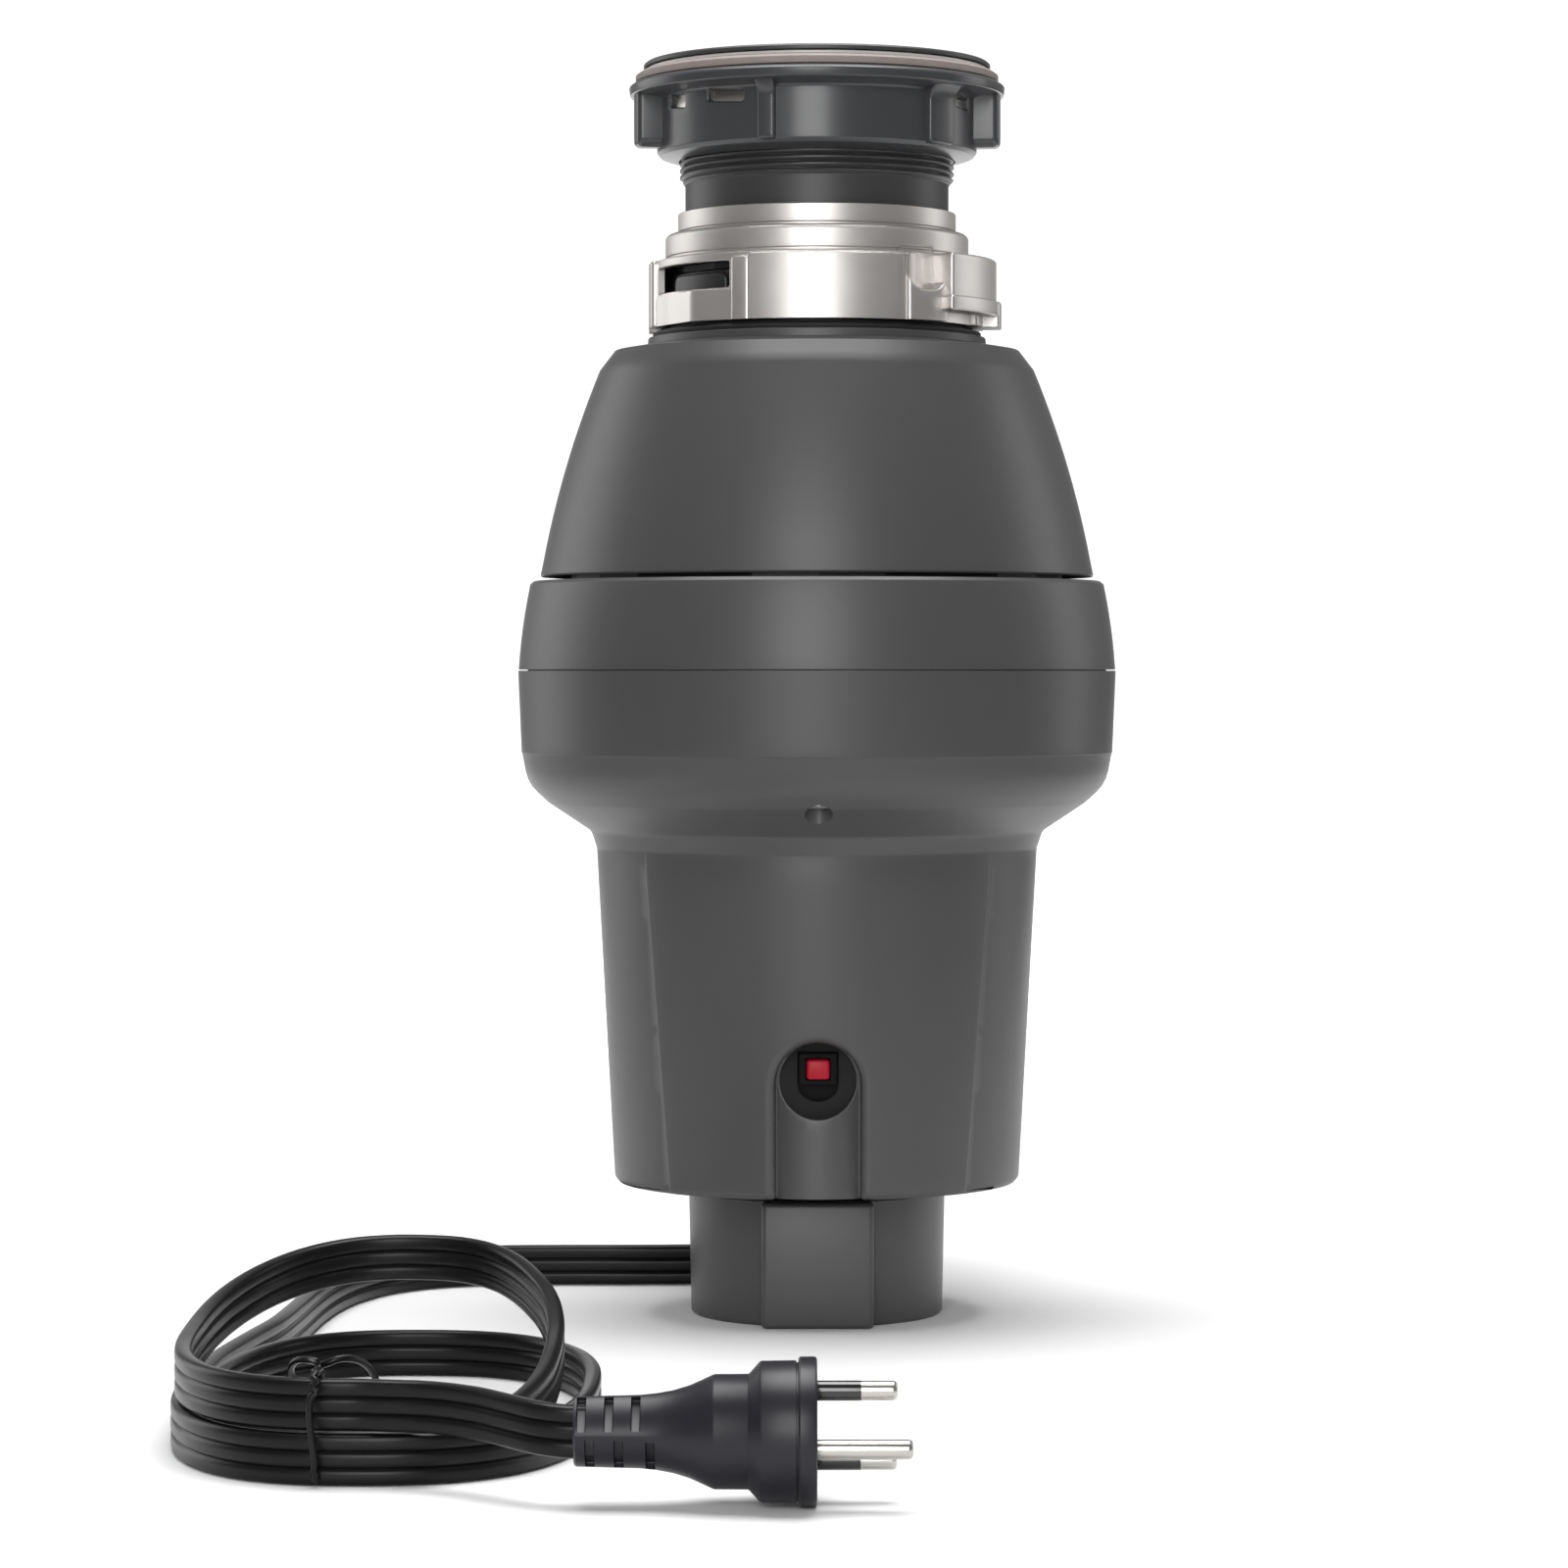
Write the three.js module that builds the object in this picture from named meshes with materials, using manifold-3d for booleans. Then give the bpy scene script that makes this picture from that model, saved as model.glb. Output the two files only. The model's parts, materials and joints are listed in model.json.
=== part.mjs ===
// A kitchen garbage disposal: sink mount, bayonet collar, grinding chamber, direct-current motor, reset
// breaker, discharge elbow and mains cord. Millimetres, +Z up, origin at the centre of the base.
// Angles of features round the axis are in degrees from the front (-Y), positive towards +X.
import * as THREE from "three";
import { mergeVertices } from "three/addons/utils/BufferGeometryUtils.js";
import Module from "manifold-3d";

const wasm = await Module();
wasm.setup();

// ---------------------------------------------------------------- driving dimensions
const GAP = 0.3; // between touching pieces
const RUNNING = 0.4; // radial clearance where pieces turn
const WALL = 2.6; // plastic covers
const ROUND = 32; // facets of the collar and the sink mount
const BODY = 24; // facets of shells and chamber
const FINE = 16; // facets of a middling round piece
const SMALL = 8; // facets of a small one

// Heights, added up from the floor.
const BASE_H = 38.7; // base cap
const LOWER_H = 162.2; // lower shell
const BAND_H = 27.6; // trim band
const GROOVE_H = 1.6; // shadow gap over the band
const UPPER_H = 72.8; // upper shell
const CUSHION_H = 4.6; // rubber cushion under the collar
const COLLAR_H = 35.7;
const NECK_H = 46.9; // sink tube above the collar
const SHELL_LOW = BASE_H + GAP;
const LOWER_TOP_Z = SHELL_LOW + LOWER_H;
const BAND_Z = [LOWER_TOP_Z + 2 * GAP, LOWER_TOP_Z + 2 * GAP + BAND_H];
const UPPER_Z = [BAND_Z[1] + GROOVE_H, BAND_Z[1] + GROOVE_H + UPPER_H];
const COLLAR_Z = [UPPER_Z[1] + CUSHION_H, UPPER_Z[1] + CUSHION_H + COLLAR_H];
const TOP_Z = COLLAR_Z[1] + NECK_H;

const BASE_R = 39.4; // base cap at the floor
const BASE_TOP_R = BASE_R + 0.8;
const BASE_RIB_W = 34.4;
const BASE_RIB_OUT = BASE_R + 4.6;
const FLOOR_T = 3;

const LOWER_TOP_R = 93.6; // widest radius, at the seam between lower shell and trim band
const MOTOR_TOP_R = 69; // lower shell round the motor, top
const MOTOR_LOW_R = 63.4; // and bottom
const MOTOR_TOP_Z = LOWER_TOP_Z - 55.2;
const BAND_R = [LOWER_TOP_R - 0.2, LOWER_TOP_R - 3.8];
const UPPER_LOW_R = BAND_R[1] - 3.4;
const UPPER_SHOULDER = [UPPER_LOW_R - 18.4, UPPER_Z[1] - 8.7];
const CASE_SCREW_R = LOWER_TOP_R - 12.1; // circle of the case screws

const RESET_Z = BASE_H + 42.3; // height of the reset button
const CHANNEL_W = 27; // reset channel in the front
const CHANNEL_FLOOR = MOTOR_LOW_R - 5.4; // its floor's distance from the axis
const CHANNEL_TOP = RESET_Z + 8.5;
const WINDOW_R = 11.6;
const WINDOW_Z = RESET_Z - 3.6;

const TUBE_R = 41.2; // sink flange's plain neck
const TUBE_BORE = TUBE_R - 2.6;
const THREAD_R = TUBE_R + 1.7;
const THREAD_Z = TOP_Z - 38;
const RIM_R = THREAD_R + 11.3;
const RIM_T = 1.7;
const GASKET_T = 1.0;
const WASHER_T = 2.9;
const WASHER_R = RIM_R + 2.5;
const NUT_H = 24.6;
const NUT_R = THREAD_R + 7.1;
const NUT_RIM_R = NUT_R + 8.8;

const COLLAR_BORE = TUBE_R + 6.1;
const COLLAR_R = COLLAR_BORE + 3.3;
const COLLAR_SHOULDER = COLLAR_Z[0] + 21; // the sink tube's lip is held under it
const EAR_LOW = COLLAR_Z[0] - 1;
const TUBE_Z = COLLAR_SHOULDER - 2.4;
const CUSHION_R = COLLAR_R + 2.1;
const LUG_ANGLES = [-53.5, 126.5];
const LUG_SPAN = 34;
const LUG_Z = [COLLAR_Z[0] + 5.2, COLLAR_Z[0] + 15.2];
const NECK_BORE = TUBE_R - 1;
const NECK_R = COLLAR_BORE - 1.8;
const HOPPER_NECK_R = TUBE_R + 4.8;
const NECK_HOLE_R = HOPPER_NECK_R + 2; // in the upper shell

const SUMP_R = LOWER_TOP_R - 13.6;
const SUMP_WALL = 3.2;
const SUMP_Z = [LOWER_TOP_Z - 40.8, LOWER_TOP_Z + 3.6];
const RING_SEAT_R = SUMP_R - 6; // grinding ring's seat
const RING_BORE = RING_SEAT_R - 6.8;
const RING_Z = [SUMP_Z[1] + 0.4, SUMP_Z[1] + 24.2];
const RING_SLOTS = 14;
const CHAMBER_R = RING_BORE - 4.2; // hopper's inside
const CHAMBER_WALL = 3.2;
const TURNTABLE_R = RING_BORE - 1.8;
const TURNTABLE_Z = [RING_Z[0] + 1, RING_Z[0] + 4.4];
const IMPELLER_PIN_AT = TURNTABLE_R - 21.4;
const IMPELLER_OUT = 20.4;
const IMPELLER_IN = 15;
const IMPELLER_W = 16;
const IMPELLER_H = 8;
const PIN_R = 4;

const OUTLET_Z = SUMP_Z[0] + 19.6;
const OUTLET_R = 19;
const OUTLET_BORE = 16;
const OUTLET_END = LOWER_TOP_R + 1.4;
const OUTLET_BOLT_X = 27;
const PIPE_BORE = 17;
const PIPE_R = PIPE_BORE + 2.2;
const PIPE_FALL = 52; // from the outlet's axis to the pipe's end

const SHAFT_R = 6;
const SHAFT_TOP_R = SHAFT_R - 1.1;
const SEAL_R = SHAFT_R + 5;
const BEARING_R = SHAFT_R + 8;
const LOW_BEARING_R = SHAFT_R + 6;
const HUB_R = BEARING_R + 3;
const CAN_Z = [SUMP_Z[0] - 56.1, SUMP_Z[0] - RUNNING];
const CAN_R = 49;
const CAN_WALL = 2;
const BELL_Z = CAN_Z[0] - 12.3;
const BRUSH_Z = CAN_Z[0] + 4.7;
const CORE_R = 34;
const CORE_Z = [CAN_Z[0] + 15.7, CAN_Z[0] + 45.7];
const SLOTS = 10;
const COMMUTATOR_R = SHAFT_R + 5;
const TIE_CIRCLE = 41.6; // circle of the motor's two through bolts
const BOLT_R = 2; // shank of bolts and screws
const BOLT_HOLE_R = 2.4;

const INLET_Z = UPPER_Z[0] + 31; // dishwasher spigot
const INLET_ANGLE = -145;
const INLET_R = 11.1;
const INLET_BORE = 8.5;
const INLET_END = LOWER_TOP_R + 9.4;

const CORD_W = 13; // flat cord, standing on its edge
const CORD_T = 4.6;
const EXIT_AT = 72.5; // degrees from +X, seen from above
const EXIT_Z = 9.6;
const CORD_HEADING = 130; // the same way round
const RELIEF_W = 10.8; // strain relief's grip in the base
const RELIEF_H = 16.4;
const RELIEF_L = 22;
const COIL_AT = [-115.3, -236];
const COIL_HALF = [57, 99.5];
const COIL_RING = 16;
const COIL_Z = [2.2, 27.4];
const TIE_X = -126;
const TIE_WIRE = 1.8;

const PLUG_AT = [-61, -360, 18]; // left end of the plug, on its axis
const PLUG_L = 58.7;
const PIN_L = 19.4;
const EARTH_L = 23;
const PIN_R_PLUG = 2.4;
const LINE_PITCH = 19;
const EARTH_OFF = 11.9;
const PLUG_ROLL = 20; // turn of the plug about its axis as it lies
const PIN_SHIFT = 3; // the line pins' distance past the axis

// ---------------------------------------------------------------- finishes
const finish = (color, roughness, metalness = 0) =>
  new THREE.MeshStandardMaterial({ color, roughness, metalness });
const housingGrey = finish(0x505050, 0.45);
const darkPlastic = finish(0x2b2b2d, 0.4);
const nutGrey = finish(0x4b4c4e, 0.3);
const dieCast = finish(0xbdb9b4, 0.3, 0.9);
const steel = finish(0xb8b8b8, 0.3, 1);
const darkSteel = finish(0x55565a, 0.4, 0.9);
const rubber = finish(0x1d1d1e, 0.8);
const fibre = finish(0x9a908b, 0.6);
const redPlastic = finish(0xb00e2a, 0.4);
const copper = finish(0xb56a35, 0.4, 0.9);
const board = finish(0x2f5a3a, 0.6);
const carbon = finish(0x232325, 0.7);
const cordBlack = finish(0x1c1a1a, 0.4);
const plugBlack = finish(0x2b2934, 0.5);

// ---------------------------------------------------------------- tools for solids
function solid(geometry) {
  const bare = geometry.clone();
  bare.deleteAttribute("normal");
  bare.deleteAttribute("uv");
  const merged = mergeVertices(bare, 1e-3);
  return new wasm.Manifold(
    new wasm.Mesh({
      numProp: 3,
      vertProperties: new Float32Array(merged.attributes.position.array),
      triVerts: new Uint32Array(merged.index.array),
    }),
  );
}

function geometryOf(manifold) {
  const mesh = manifold.getMesh();
  const geometry = new THREE.BufferGeometry();
  geometry.setAttribute("position", new THREE.BufferAttribute(mesh.vertProperties, 3));
  geometry.setIndex(new THREE.BufferAttribute(mesh.triVerts, 1));
  return geometry;
}

const join = (first, ...rest) => rest.reduce((sum, piece) => sum.add(piece), first);
const cut = (first, ...rest) => rest.reduce((left, piece) => left.subtract(piece), first);

const part = new THREE.Group();

function add(name, shape, material) {
  const geometry = shape.isBufferGeometry ? shape : geometryOf(shape);
  const mesh = new THREE.Mesh(geometry, material);
  mesh.name = name;
  part.add(mesh);
  return mesh;
}

// A closed ring or a solid of revolution about Z; the profile is [radius, z] pairs, up the outside first.
function turned(profile, facets, closed = true) {
  const points = profile.map(([r, z]) => new THREE.Vector2(r, z));
  if (closed) points.push(points[0].clone());
  return new THREE.LatheGeometry(points, facets).rotateX(Math.PI / 2);
}

const tube = (inner, outer, low, high, facets = FINE) =>
  solid(turned([[outer, low], [outer, high], [inner, high], [inner, low]], facets));
const disc = (radius, low, high, facets = FINE) =>
  solid(turned([[0, low], [radius, low], [radius, high], [0, high]], facets, false));

const radians = (degrees) => (degrees * Math.PI) / 180;

// A point at a radius and an angle from the front.
const around = (radius, degrees) => [
  radius * Math.sin(radians(degrees)),
  -radius * Math.cos(radians(degrees)),
];

function prism(points, low, high) {
  const shape = new THREE.Shape(points.map(([x, y]) => new THREE.Vector2(x, y)));
  const geometry = new THREE.ExtrudeGeometry(shape, { depth: high - low, bevelEnabled: false });
  return solid(geometry.translate(0, 0, low));
}

// A block between two radii and two angles.
function sector(inner, outer, from, to, low, high, stepDegrees = 9) {
  const steps = Math.max(1, Math.ceil((to - from) / stepDegrees));
  const points = [];
  for (let i = 0; i <= steps; i++) points.push(around(outer, from + ((to - from) * i) / steps));
  for (let i = steps; i >= 0; i--) points.push(around(inner, from + ((to - from) * i) / steps));
  return prism(points, low, high);
}

function box(width, depth, height, x, y, z) {
  return solid(new THREE.BoxGeometry(width, depth, height).translate(x, y, z));
}

// A cylinder or tube along Y from y0 to y1.
function alongY(radius, y0, y1, x, z, facets = FINE) {
  const body = new THREE.CylinderGeometry(radius, radius, y1 - y0, facets);
  return solid(body.translate(x, (y0 + y1) / 2, z));
}

// Points between two [r, z] ends on a shallow curve that bulges outwards.
function bulge([r0, z0], [r1, z1], height, steps) {
  const length = Math.hypot(r1 - r0, z1 - z0);
  const points = [];
  for (let i = 0; i <= steps; i++) {
    const t = i / steps;
    const out = (4 * height * t * (1 - t)) / length;
    points.push([r0 + (r1 - r0) * t + (z1 - z0) * out, z0 + (z1 - z0) * t - (r1 - r0) * out]);
  }
  return points;
}

const thinner = (points, wall) => points.map(([r, z]) => [r - wall, z]).reverse();

// ---------------------------------------------------------------- sink mount
const rimLow = TOP_Z - RIM_T;
const gasketZ = [rimLow - GAP - GASKET_T, rimLow - GAP];
const washerZ = [gasketZ[0] - GAP - WASHER_T, gasketZ[0] - GAP];
const nutTop = washerZ[0] - GAP;
const nutLow = nutTop - NUT_H;
const onThread = THREAD_R + RUNNING;

add(
  "sink_flange",
  solid(
    turned(
      [
        [TUBE_R + 4.4, TUBE_Z],
        [TUBE_R + 4.4, COLLAR_SHOULDER - RUNNING],
        [TUBE_R, COLLAR_SHOULDER - RUNNING],
        [TUBE_R, THREAD_Z],
        [THREAD_R, THREAD_Z],
        [THREAD_R, rimLow],
        [RIM_R, rimLow],
        [RIM_R, TOP_Z - 0.6],
        [RIM_R - 0.8, TOP_Z],
        [TUBE_BORE + 5, TOP_Z],
        [TUBE_BORE, TOP_Z - 8],
        [TUBE_BORE, TUBE_Z],
      ],
      ROUND,
    ),
  ),
  darkPlastic,
);
add("flange_gasket", tube(onThread, RIM_R - 0.6, ...gasketZ, ROUND), rubber);
add(
  "backup_washer",
  solid(
    turned(
      [
        [WASHER_R, washerZ[0]],
        [WASHER_R, washerZ[1] - 0.8],
        [WASHER_R - 1, washerZ[1]],
        [onThread, washerZ[1]],
        [onThread, washerZ[0]],
      ],
      ROUND,
    ),
  ),
  fibre,
);

function mountingNut() {
  const body = solid(
    turned(
      [
        [onThread, nutLow],
        [NUT_R, nutLow + 3.6],
        [NUT_R, nutTop - 6.2],
        [NUT_RIM_R, nutTop - 5.2],
        [NUT_RIM_R, nutTop - 1.2],
        [NUT_RIM_R - 1.6, nutTop],
        [onThread, nutTop],
      ],
      ROUND,
    ),
  );
  const ears = [-80, 82, 180].map((at) =>
    sector(NUT_R - 2, NUT_R + 7.2, at - 5, at + 5, nutLow + 3.4, nutTop - 4, 5),
  );
  const ribs = [-17, 50, 130, -130].map((at) =>
    sector(NUT_R - 2, NUT_R + 2.2, at - 3.5, at + 3.5, nutLow + 3.4, nutTop - 4, 4),
  );
  const slots = [-34, -57, 60, 100, 150, -140].map((at) =>
    sector(NUT_R + 0.5, NUT_R + 3.2, at - 4.5, at + 4.5, nutTop - 8, nutTop + 1, 5),
  );
  return cut(join(body, ...ears, ...ribs), ...slots);
}
add("mounting_nut", mountingNut(), nutGrey);

// ---------------------------------------------------------------- bayonet collar
function swivelCollar() {
  const [low, high] = COLLAR_Z;
  const beadR = COLLAR_R - 3.2;
  const beadTop = COLLAR_SHOULDER + 8.2;
  const ringR = TUBE_R + 2.3;
  const shell = solid(
    turned(
      [
        [COLLAR_R, low],
        [COLLAR_R, COLLAR_SHOULDER - 0.8],
        [beadR, COLLAR_SHOULDER + 0.2],
        [beadR, beadTop - 2.6],
        [beadR - 2, beadTop],
        [ringR, beadTop],
        [ringR, high],
        [TUBE_R + RUNNING, high],
        [TUBE_R + RUNNING, COLLAR_SHOULDER],
        [COLLAR_BORE, COLLAR_SHOULDER],
        [COLLAR_BORE, low],
      ],
      ROUND,
    ),
  );
  const rim = COLLAR_R - 1.4; // outer blocks start inside the wall
  const foot = low + 0.4;
  const windowLow = low + 9.6;
  const blocks = [];
  const windows = [];
  // Two sets of features; the second set's striking block is the shorter.
  for (const [turn, blockEnd] of [[0, 95], [180, 68]]) {
    const block = (out, from, to, z0, z1, step) =>
      blocks.push(sector(rim, COLLAR_R + out, turn + from, turn + to, z0, z1, step));
    block(1.3, -24.7, 36, foot, COLLAR_SHOULDER - 1.2);
    block(0.6, -31.5, -24, foot, COLLAR_SHOULDER - 2.4);
    block(1.1, -76, -31, foot, windowLow, 22);
    block(2.2, 250, 288, EAR_LOW, COLLAR_SHOULDER);
    block(2.6, 35, 52, foot, COLLAR_SHOULDER - 1.2);
    block(6.4, 48, blockEnd, low + 7.6, COLLAR_SHOULDER - 0.2, 8);
    block(7.4, 40, blockEnd, low + 2, low + 7.8, 8);
    windows.push(sector(COLLAR_BORE - 1, COLLAR_R + 3.4, turn - 75, turn - 32, windowLow, windowLow + 7.7));
    const [x, y] = around(COLLAR_R + 4.4, turn + 43);
    windows.push(disc(5.9, low + 10.6, COLLAR_SHOULDER - 0.5, SMALL).translate([x, y, 0]));
  }
  const ledgeInner = COLLAR_BORE - 1.4;
  for (const at of LUG_ANGLES)
    blocks.push(
      sector(ledgeInner, rim, at - LUG_SPAN / 2 - 3, at + LUG_SPAN / 2, foot, LUG_Z[0] - GAP),
    );
  return cut(join(shell, ...blocks), ...windows);
}
add("swivel_collar", swivelCollar(), dieCast);

// ---------------------------------------------------------------- neck
const neckTop = LUG_Z[1] + 0.8;
const neckBase = UPPER_Z[1] + GAP;
const lugs = LUG_ANGLES.map((at) =>
  sector(NECK_R - 1, COLLAR_BORE - RUNNING, at - LUG_SPAN / 2, at + LUG_SPAN / 2, ...LUG_Z, 7),
);
add("support_ring", join(tube(NECK_BORE, NECK_R, neckBase, neckTop, ROUND), ...lugs), darkPlastic);
const cushionTop = COLLAR_Z[0] - RUNNING;
add(
  "cushion_ring",
  solid(
    turned(
      [
        [CUSHION_R, neckBase],
        [CUSHION_R, EAR_LOW - RUNNING],
        [COLLAR_R - 2.2, EAR_LOW - RUNNING],
        [COLLAR_R - 2.2, cushionTop],
        [NECK_R + GAP, cushionTop],
        [NECK_R + GAP, neckBase],
      ],
      ROUND,
    ),
  ),
  rubber,
);

// The guard hangs from a flat lip clamped between the neck and the sink tube; its skirt narrows downwards.
const GUARD_MOUTH_R = 16;
function splashGuard() {
  const lip = [neckTop + GAP, TUBE_Z - GAP];
  const skirt = turned(
    [
      [GUARD_MOUTH_R + 1, lip[0] - 15.7],
      [NECK_BORE - 2.2, lip[0] - 10.7],
      [NECK_BORE - GAP, lip[0] - 5.7],
      [NECK_BORE - GAP, lip[0]],
      [NECK_R - 1, lip[0]],
      [NECK_R - 1, lip[1]],
      [NECK_BORE - 2.4, lip[1]],
      [NECK_BORE - 2.4, lip[0] - 4.2],
      [NECK_BORE - 4.2, lip[0] - 8.7],
      [GUARD_MOUTH_R, lip[0] - 13.7],
    ],
    FINE,
  );
  const slits = [];
  for (let i = 0; i < 6; i++) {
    const slit = box(22, 1.2, 14, GUARD_MOUTH_R + 8, 0, lip[0] - 13.7);
    slits.push(slit.rotate([0, 0, (i + 0.5) * 60]));
  }
  return cut(solid(skirt), ...slits);
}
add("splash_guard", splashGuard(), rubber);

// ---------------------------------------------------------------- outer shells
const upperCurve = bulge([UPPER_LOW_R, UPPER_Z[0]], UPPER_SHOULDER, 1.8, 3);
const upperOuter = [
  ...upperCurve,
  [UPPER_SHOULDER[0] - 4.8, UPPER_Z[1] - 2.4],
  [UPPER_SHOULDER[0] - 7.4, UPPER_Z[1]],
  [NECK_HOLE_R, UPPER_Z[1]],
];
const upperInner = [
  [NECK_HOLE_R, UPPER_Z[1] - WALL],
  [UPPER_SHOULDER[0] - 9, UPPER_Z[1] - WALL - 0.6],
  ...thinner(upperCurve, WALL),
];
const inletAxis = (from, to, radius, facets = SMALL) =>
  alongY(radius, -to, -from, 0, INLET_Z, facets).rotate([0, 0, INLET_ANGLE]);

add(
  "upper_shell",
  cut(
    solid(turned([...upperOuter, ...upperInner], BODY)),
    inletAxis(CHAMBER_R, UPPER_LOW_R + 10, INLET_R + 0.7),
  ),
  housingGrey,
);

const bandCurve = bulge([BAND_R[0], BAND_Z[0]], [BAND_R[1], BAND_Z[1] - 1], 0.5, 2);
add(
  "mid_band",
  solid(
    turned(
      [
        ...bandCurve,
        [BAND_R[1] - 1.2, BAND_Z[1]],
        [UPPER_LOW_R - 2.4, BAND_Z[1]],
        [UPPER_LOW_R - 2.4, BAND_Z[1] - WALL],
        [BAND_R[1] - WALL, BAND_Z[1] - WALL],
        [BAND_R[0] - WALL, BAND_Z[0]],
      ],
      BODY,
    ),
  ),
  housingGrey,
);

// The reset channel: an arch-topped slot, w wide, from y0 to y1 and up to the given height.
function archSlot(width, low, top, y0, y1) {
  const radius = width / 2;
  const points = [[-radius, low], [radius, low]];
  for (let i = 0; i <= 10; i++) {
    const at = (Math.PI * i) / 10;
    points.push([radius * Math.cos(at), top - radius + radius * Math.sin(at)]);
  }
  const shape = new THREE.Shape(points.map(([x, z]) => new THREE.Vector2(x, z)));
  const geometry = new THREE.ExtrudeGeometry(shape, { depth: y1 - y0, bevelEnabled: false });
  return solid(geometry.rotateX(Math.PI / 2).translate(0, y1, 0));
}

const caseScrewAngles = [0, 120, 240];
const lowerOuter = [
  [MOTOR_LOW_R - 3.4, SHELL_LOW],
  [MOTOR_LOW_R, SHELL_LOW + 4],
  [MOTOR_TOP_R, MOTOR_TOP_Z],
  [MOTOR_TOP_R + 1.8, MOTOR_TOP_Z + 5.4],
  [LOWER_TOP_R - 10.1, MOTOR_TOP_Z + 13.8],
  [LOWER_TOP_R - 4.2, MOTOR_TOP_Z + 19.2],
  [LOWER_TOP_R - 1.6, MOTOR_TOP_Z + 28],
  [LOWER_TOP_R, LOWER_TOP_Z],
];
const lowerInner = [
  [LOWER_TOP_R - WALL, LOWER_TOP_Z],
  [LOWER_TOP_R - 2 - WALL, MOTOR_TOP_Z + 27],
  [LOWER_TOP_R - 8.6 - WALL, MOTOR_TOP_Z + 16.4],
  [MOTOR_TOP_R - WALL, MOTOR_TOP_Z + 3],
  [MOTOR_LOW_R - WALL, SHELL_LOW + 4.6],
  [MOTOR_LOW_R - 4.4, SHELL_LOW + WALL],
  [BASE_R - 4.4, SHELL_LOW + WALL],
  [BASE_R - 4.4, SHELL_LOW],
];
function lowerShell() {
  const outside = solid(
    turned([[0, SHELL_LOW], ...lowerOuter, [0, LOWER_TOP_Z]], BODY, false),
  );
  const shell = solid(turned([...lowerOuter, ...lowerInner], BODY));
  const front = -MOTOR_TOP_R - 1;
  const liner = archSlot(CHANNEL_W + 2 * WALL, SHELL_LOW, CHANNEL_TOP + WALL, front, WALL - CHANNEL_FLOOR);
  const channel = archSlot(CHANNEL_W, SHELL_LOW - 1, CHANNEL_TOP, front - 2, -CHANNEL_FLOOR);
  const window = alongY(WINDOW_R, -CHANNEL_FLOOR - 2, 8 - CHANNEL_FLOOR, 0, WINDOW_Z);
  const bosses = caseScrewAngles.map((at) => {
    const [x, y] = around(CASE_SCREW_R, at);
    const boss = disc(6.4, MOTOR_TOP_Z + 10, MOTOR_TOP_Z + 32, SMALL).translate([x, y, 0]);
    return cut(outside.intersect(boss), disc(SUMP_R - 2 + GAP, MOTOR_TOP_Z + 9, MOTOR_TOP_Z + 33, BODY));
  });
  const screwHoles = caseScrewAngles.map((at) => {
    const [x, y] = around(CASE_SCREW_R, at);
    const wide = disc(4.2, MOTOR_TOP_Z + 4, MOTOR_TOP_Z + 20, SMALL);
    const narrow = disc(BOLT_HOLE_R, MOTOR_TOP_Z + 19, MOTOR_TOP_Z + 34, SMALL);
    return join(wide, narrow).translate([x, y, 0]);
  });
  const outlet = alongY(OUTLET_R + 1, SUMP_R - 2, LOWER_TOP_R + 6, 0, OUTLET_Z);
  const bolts = [-1, 1].map((side) =>
    alongY(3, SUMP_R, LOWER_TOP_R + 6, side * OUTLET_BOLT_X, OUTLET_Z, SMALL),
  );
  const walls = join(shell, outside.intersect(liner), ...bosses);
  return cut(walls, channel, window, outlet, ...bolts, ...screwHoles);
}
add("lower_shell", lowerShell(), housingGrey);

caseScrewAngles.forEach((at, i) => {
  const [x, y] = around(CASE_SCREW_R, at);
  const head = disc(3.6, MOTOR_TOP_Z + 14.6, MOTOR_TOP_Z + 18.7, SMALL);
  const screw = join(head, disc(BOLT_R, MOTOR_TOP_Z + 18, MOTOR_TOP_Z + 33, SMALL));
  add("case_screw_" + (i + 1), screw.translate([x, y, 0]), steel);
});

const fromX = (radius, degrees) => [
  radius * Math.cos(radians(degrees)),
  radius * Math.sin(radians(degrees)),
];
const cordExit = fromX(BASE_R + 0.45, EXIT_AT);
const heading = fromX(1, CORD_HEADING);
// A block that follows the cord's exit, from and to in mm outwards from the base's wall.
function exitBlock(from, to, thick, tall) {
  const body = box(to - from, thick, tall, (from + to) / 2, 0, 0).rotate([0, 0, CORD_HEADING]);
  return body.translate([...cordExit, EXIT_Z]);
}
function baseCap() {
  const cup = solid(
    turned(
      [
        [0, 0],
        [BASE_R - 1, 0],
        [BASE_R, 1],
        [BASE_TOP_R, BASE_H],
        [BASE_TOP_R - WALL, BASE_H],
        [BASE_R - WALL, FLOOR_T],
        [0, FLOOR_T],
      ],
      BODY,
      false,
    ),
  );
  const rib = box(BASE_RIB_W, 12, BASE_H, 0, 6 - BASE_RIB_OUT, BASE_H / 2);
  const inside = disc(BASE_R - WALL, FLOOR_T, BASE_H + 1, BODY);
  return cut(join(cup, cut(rib, inside)), exitBlock(-8, 8, RELIEF_W + 2 * GAP, RELIEF_H + 2 * GAP));
}
add("base_cap", baseCap(), housingGrey);

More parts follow.
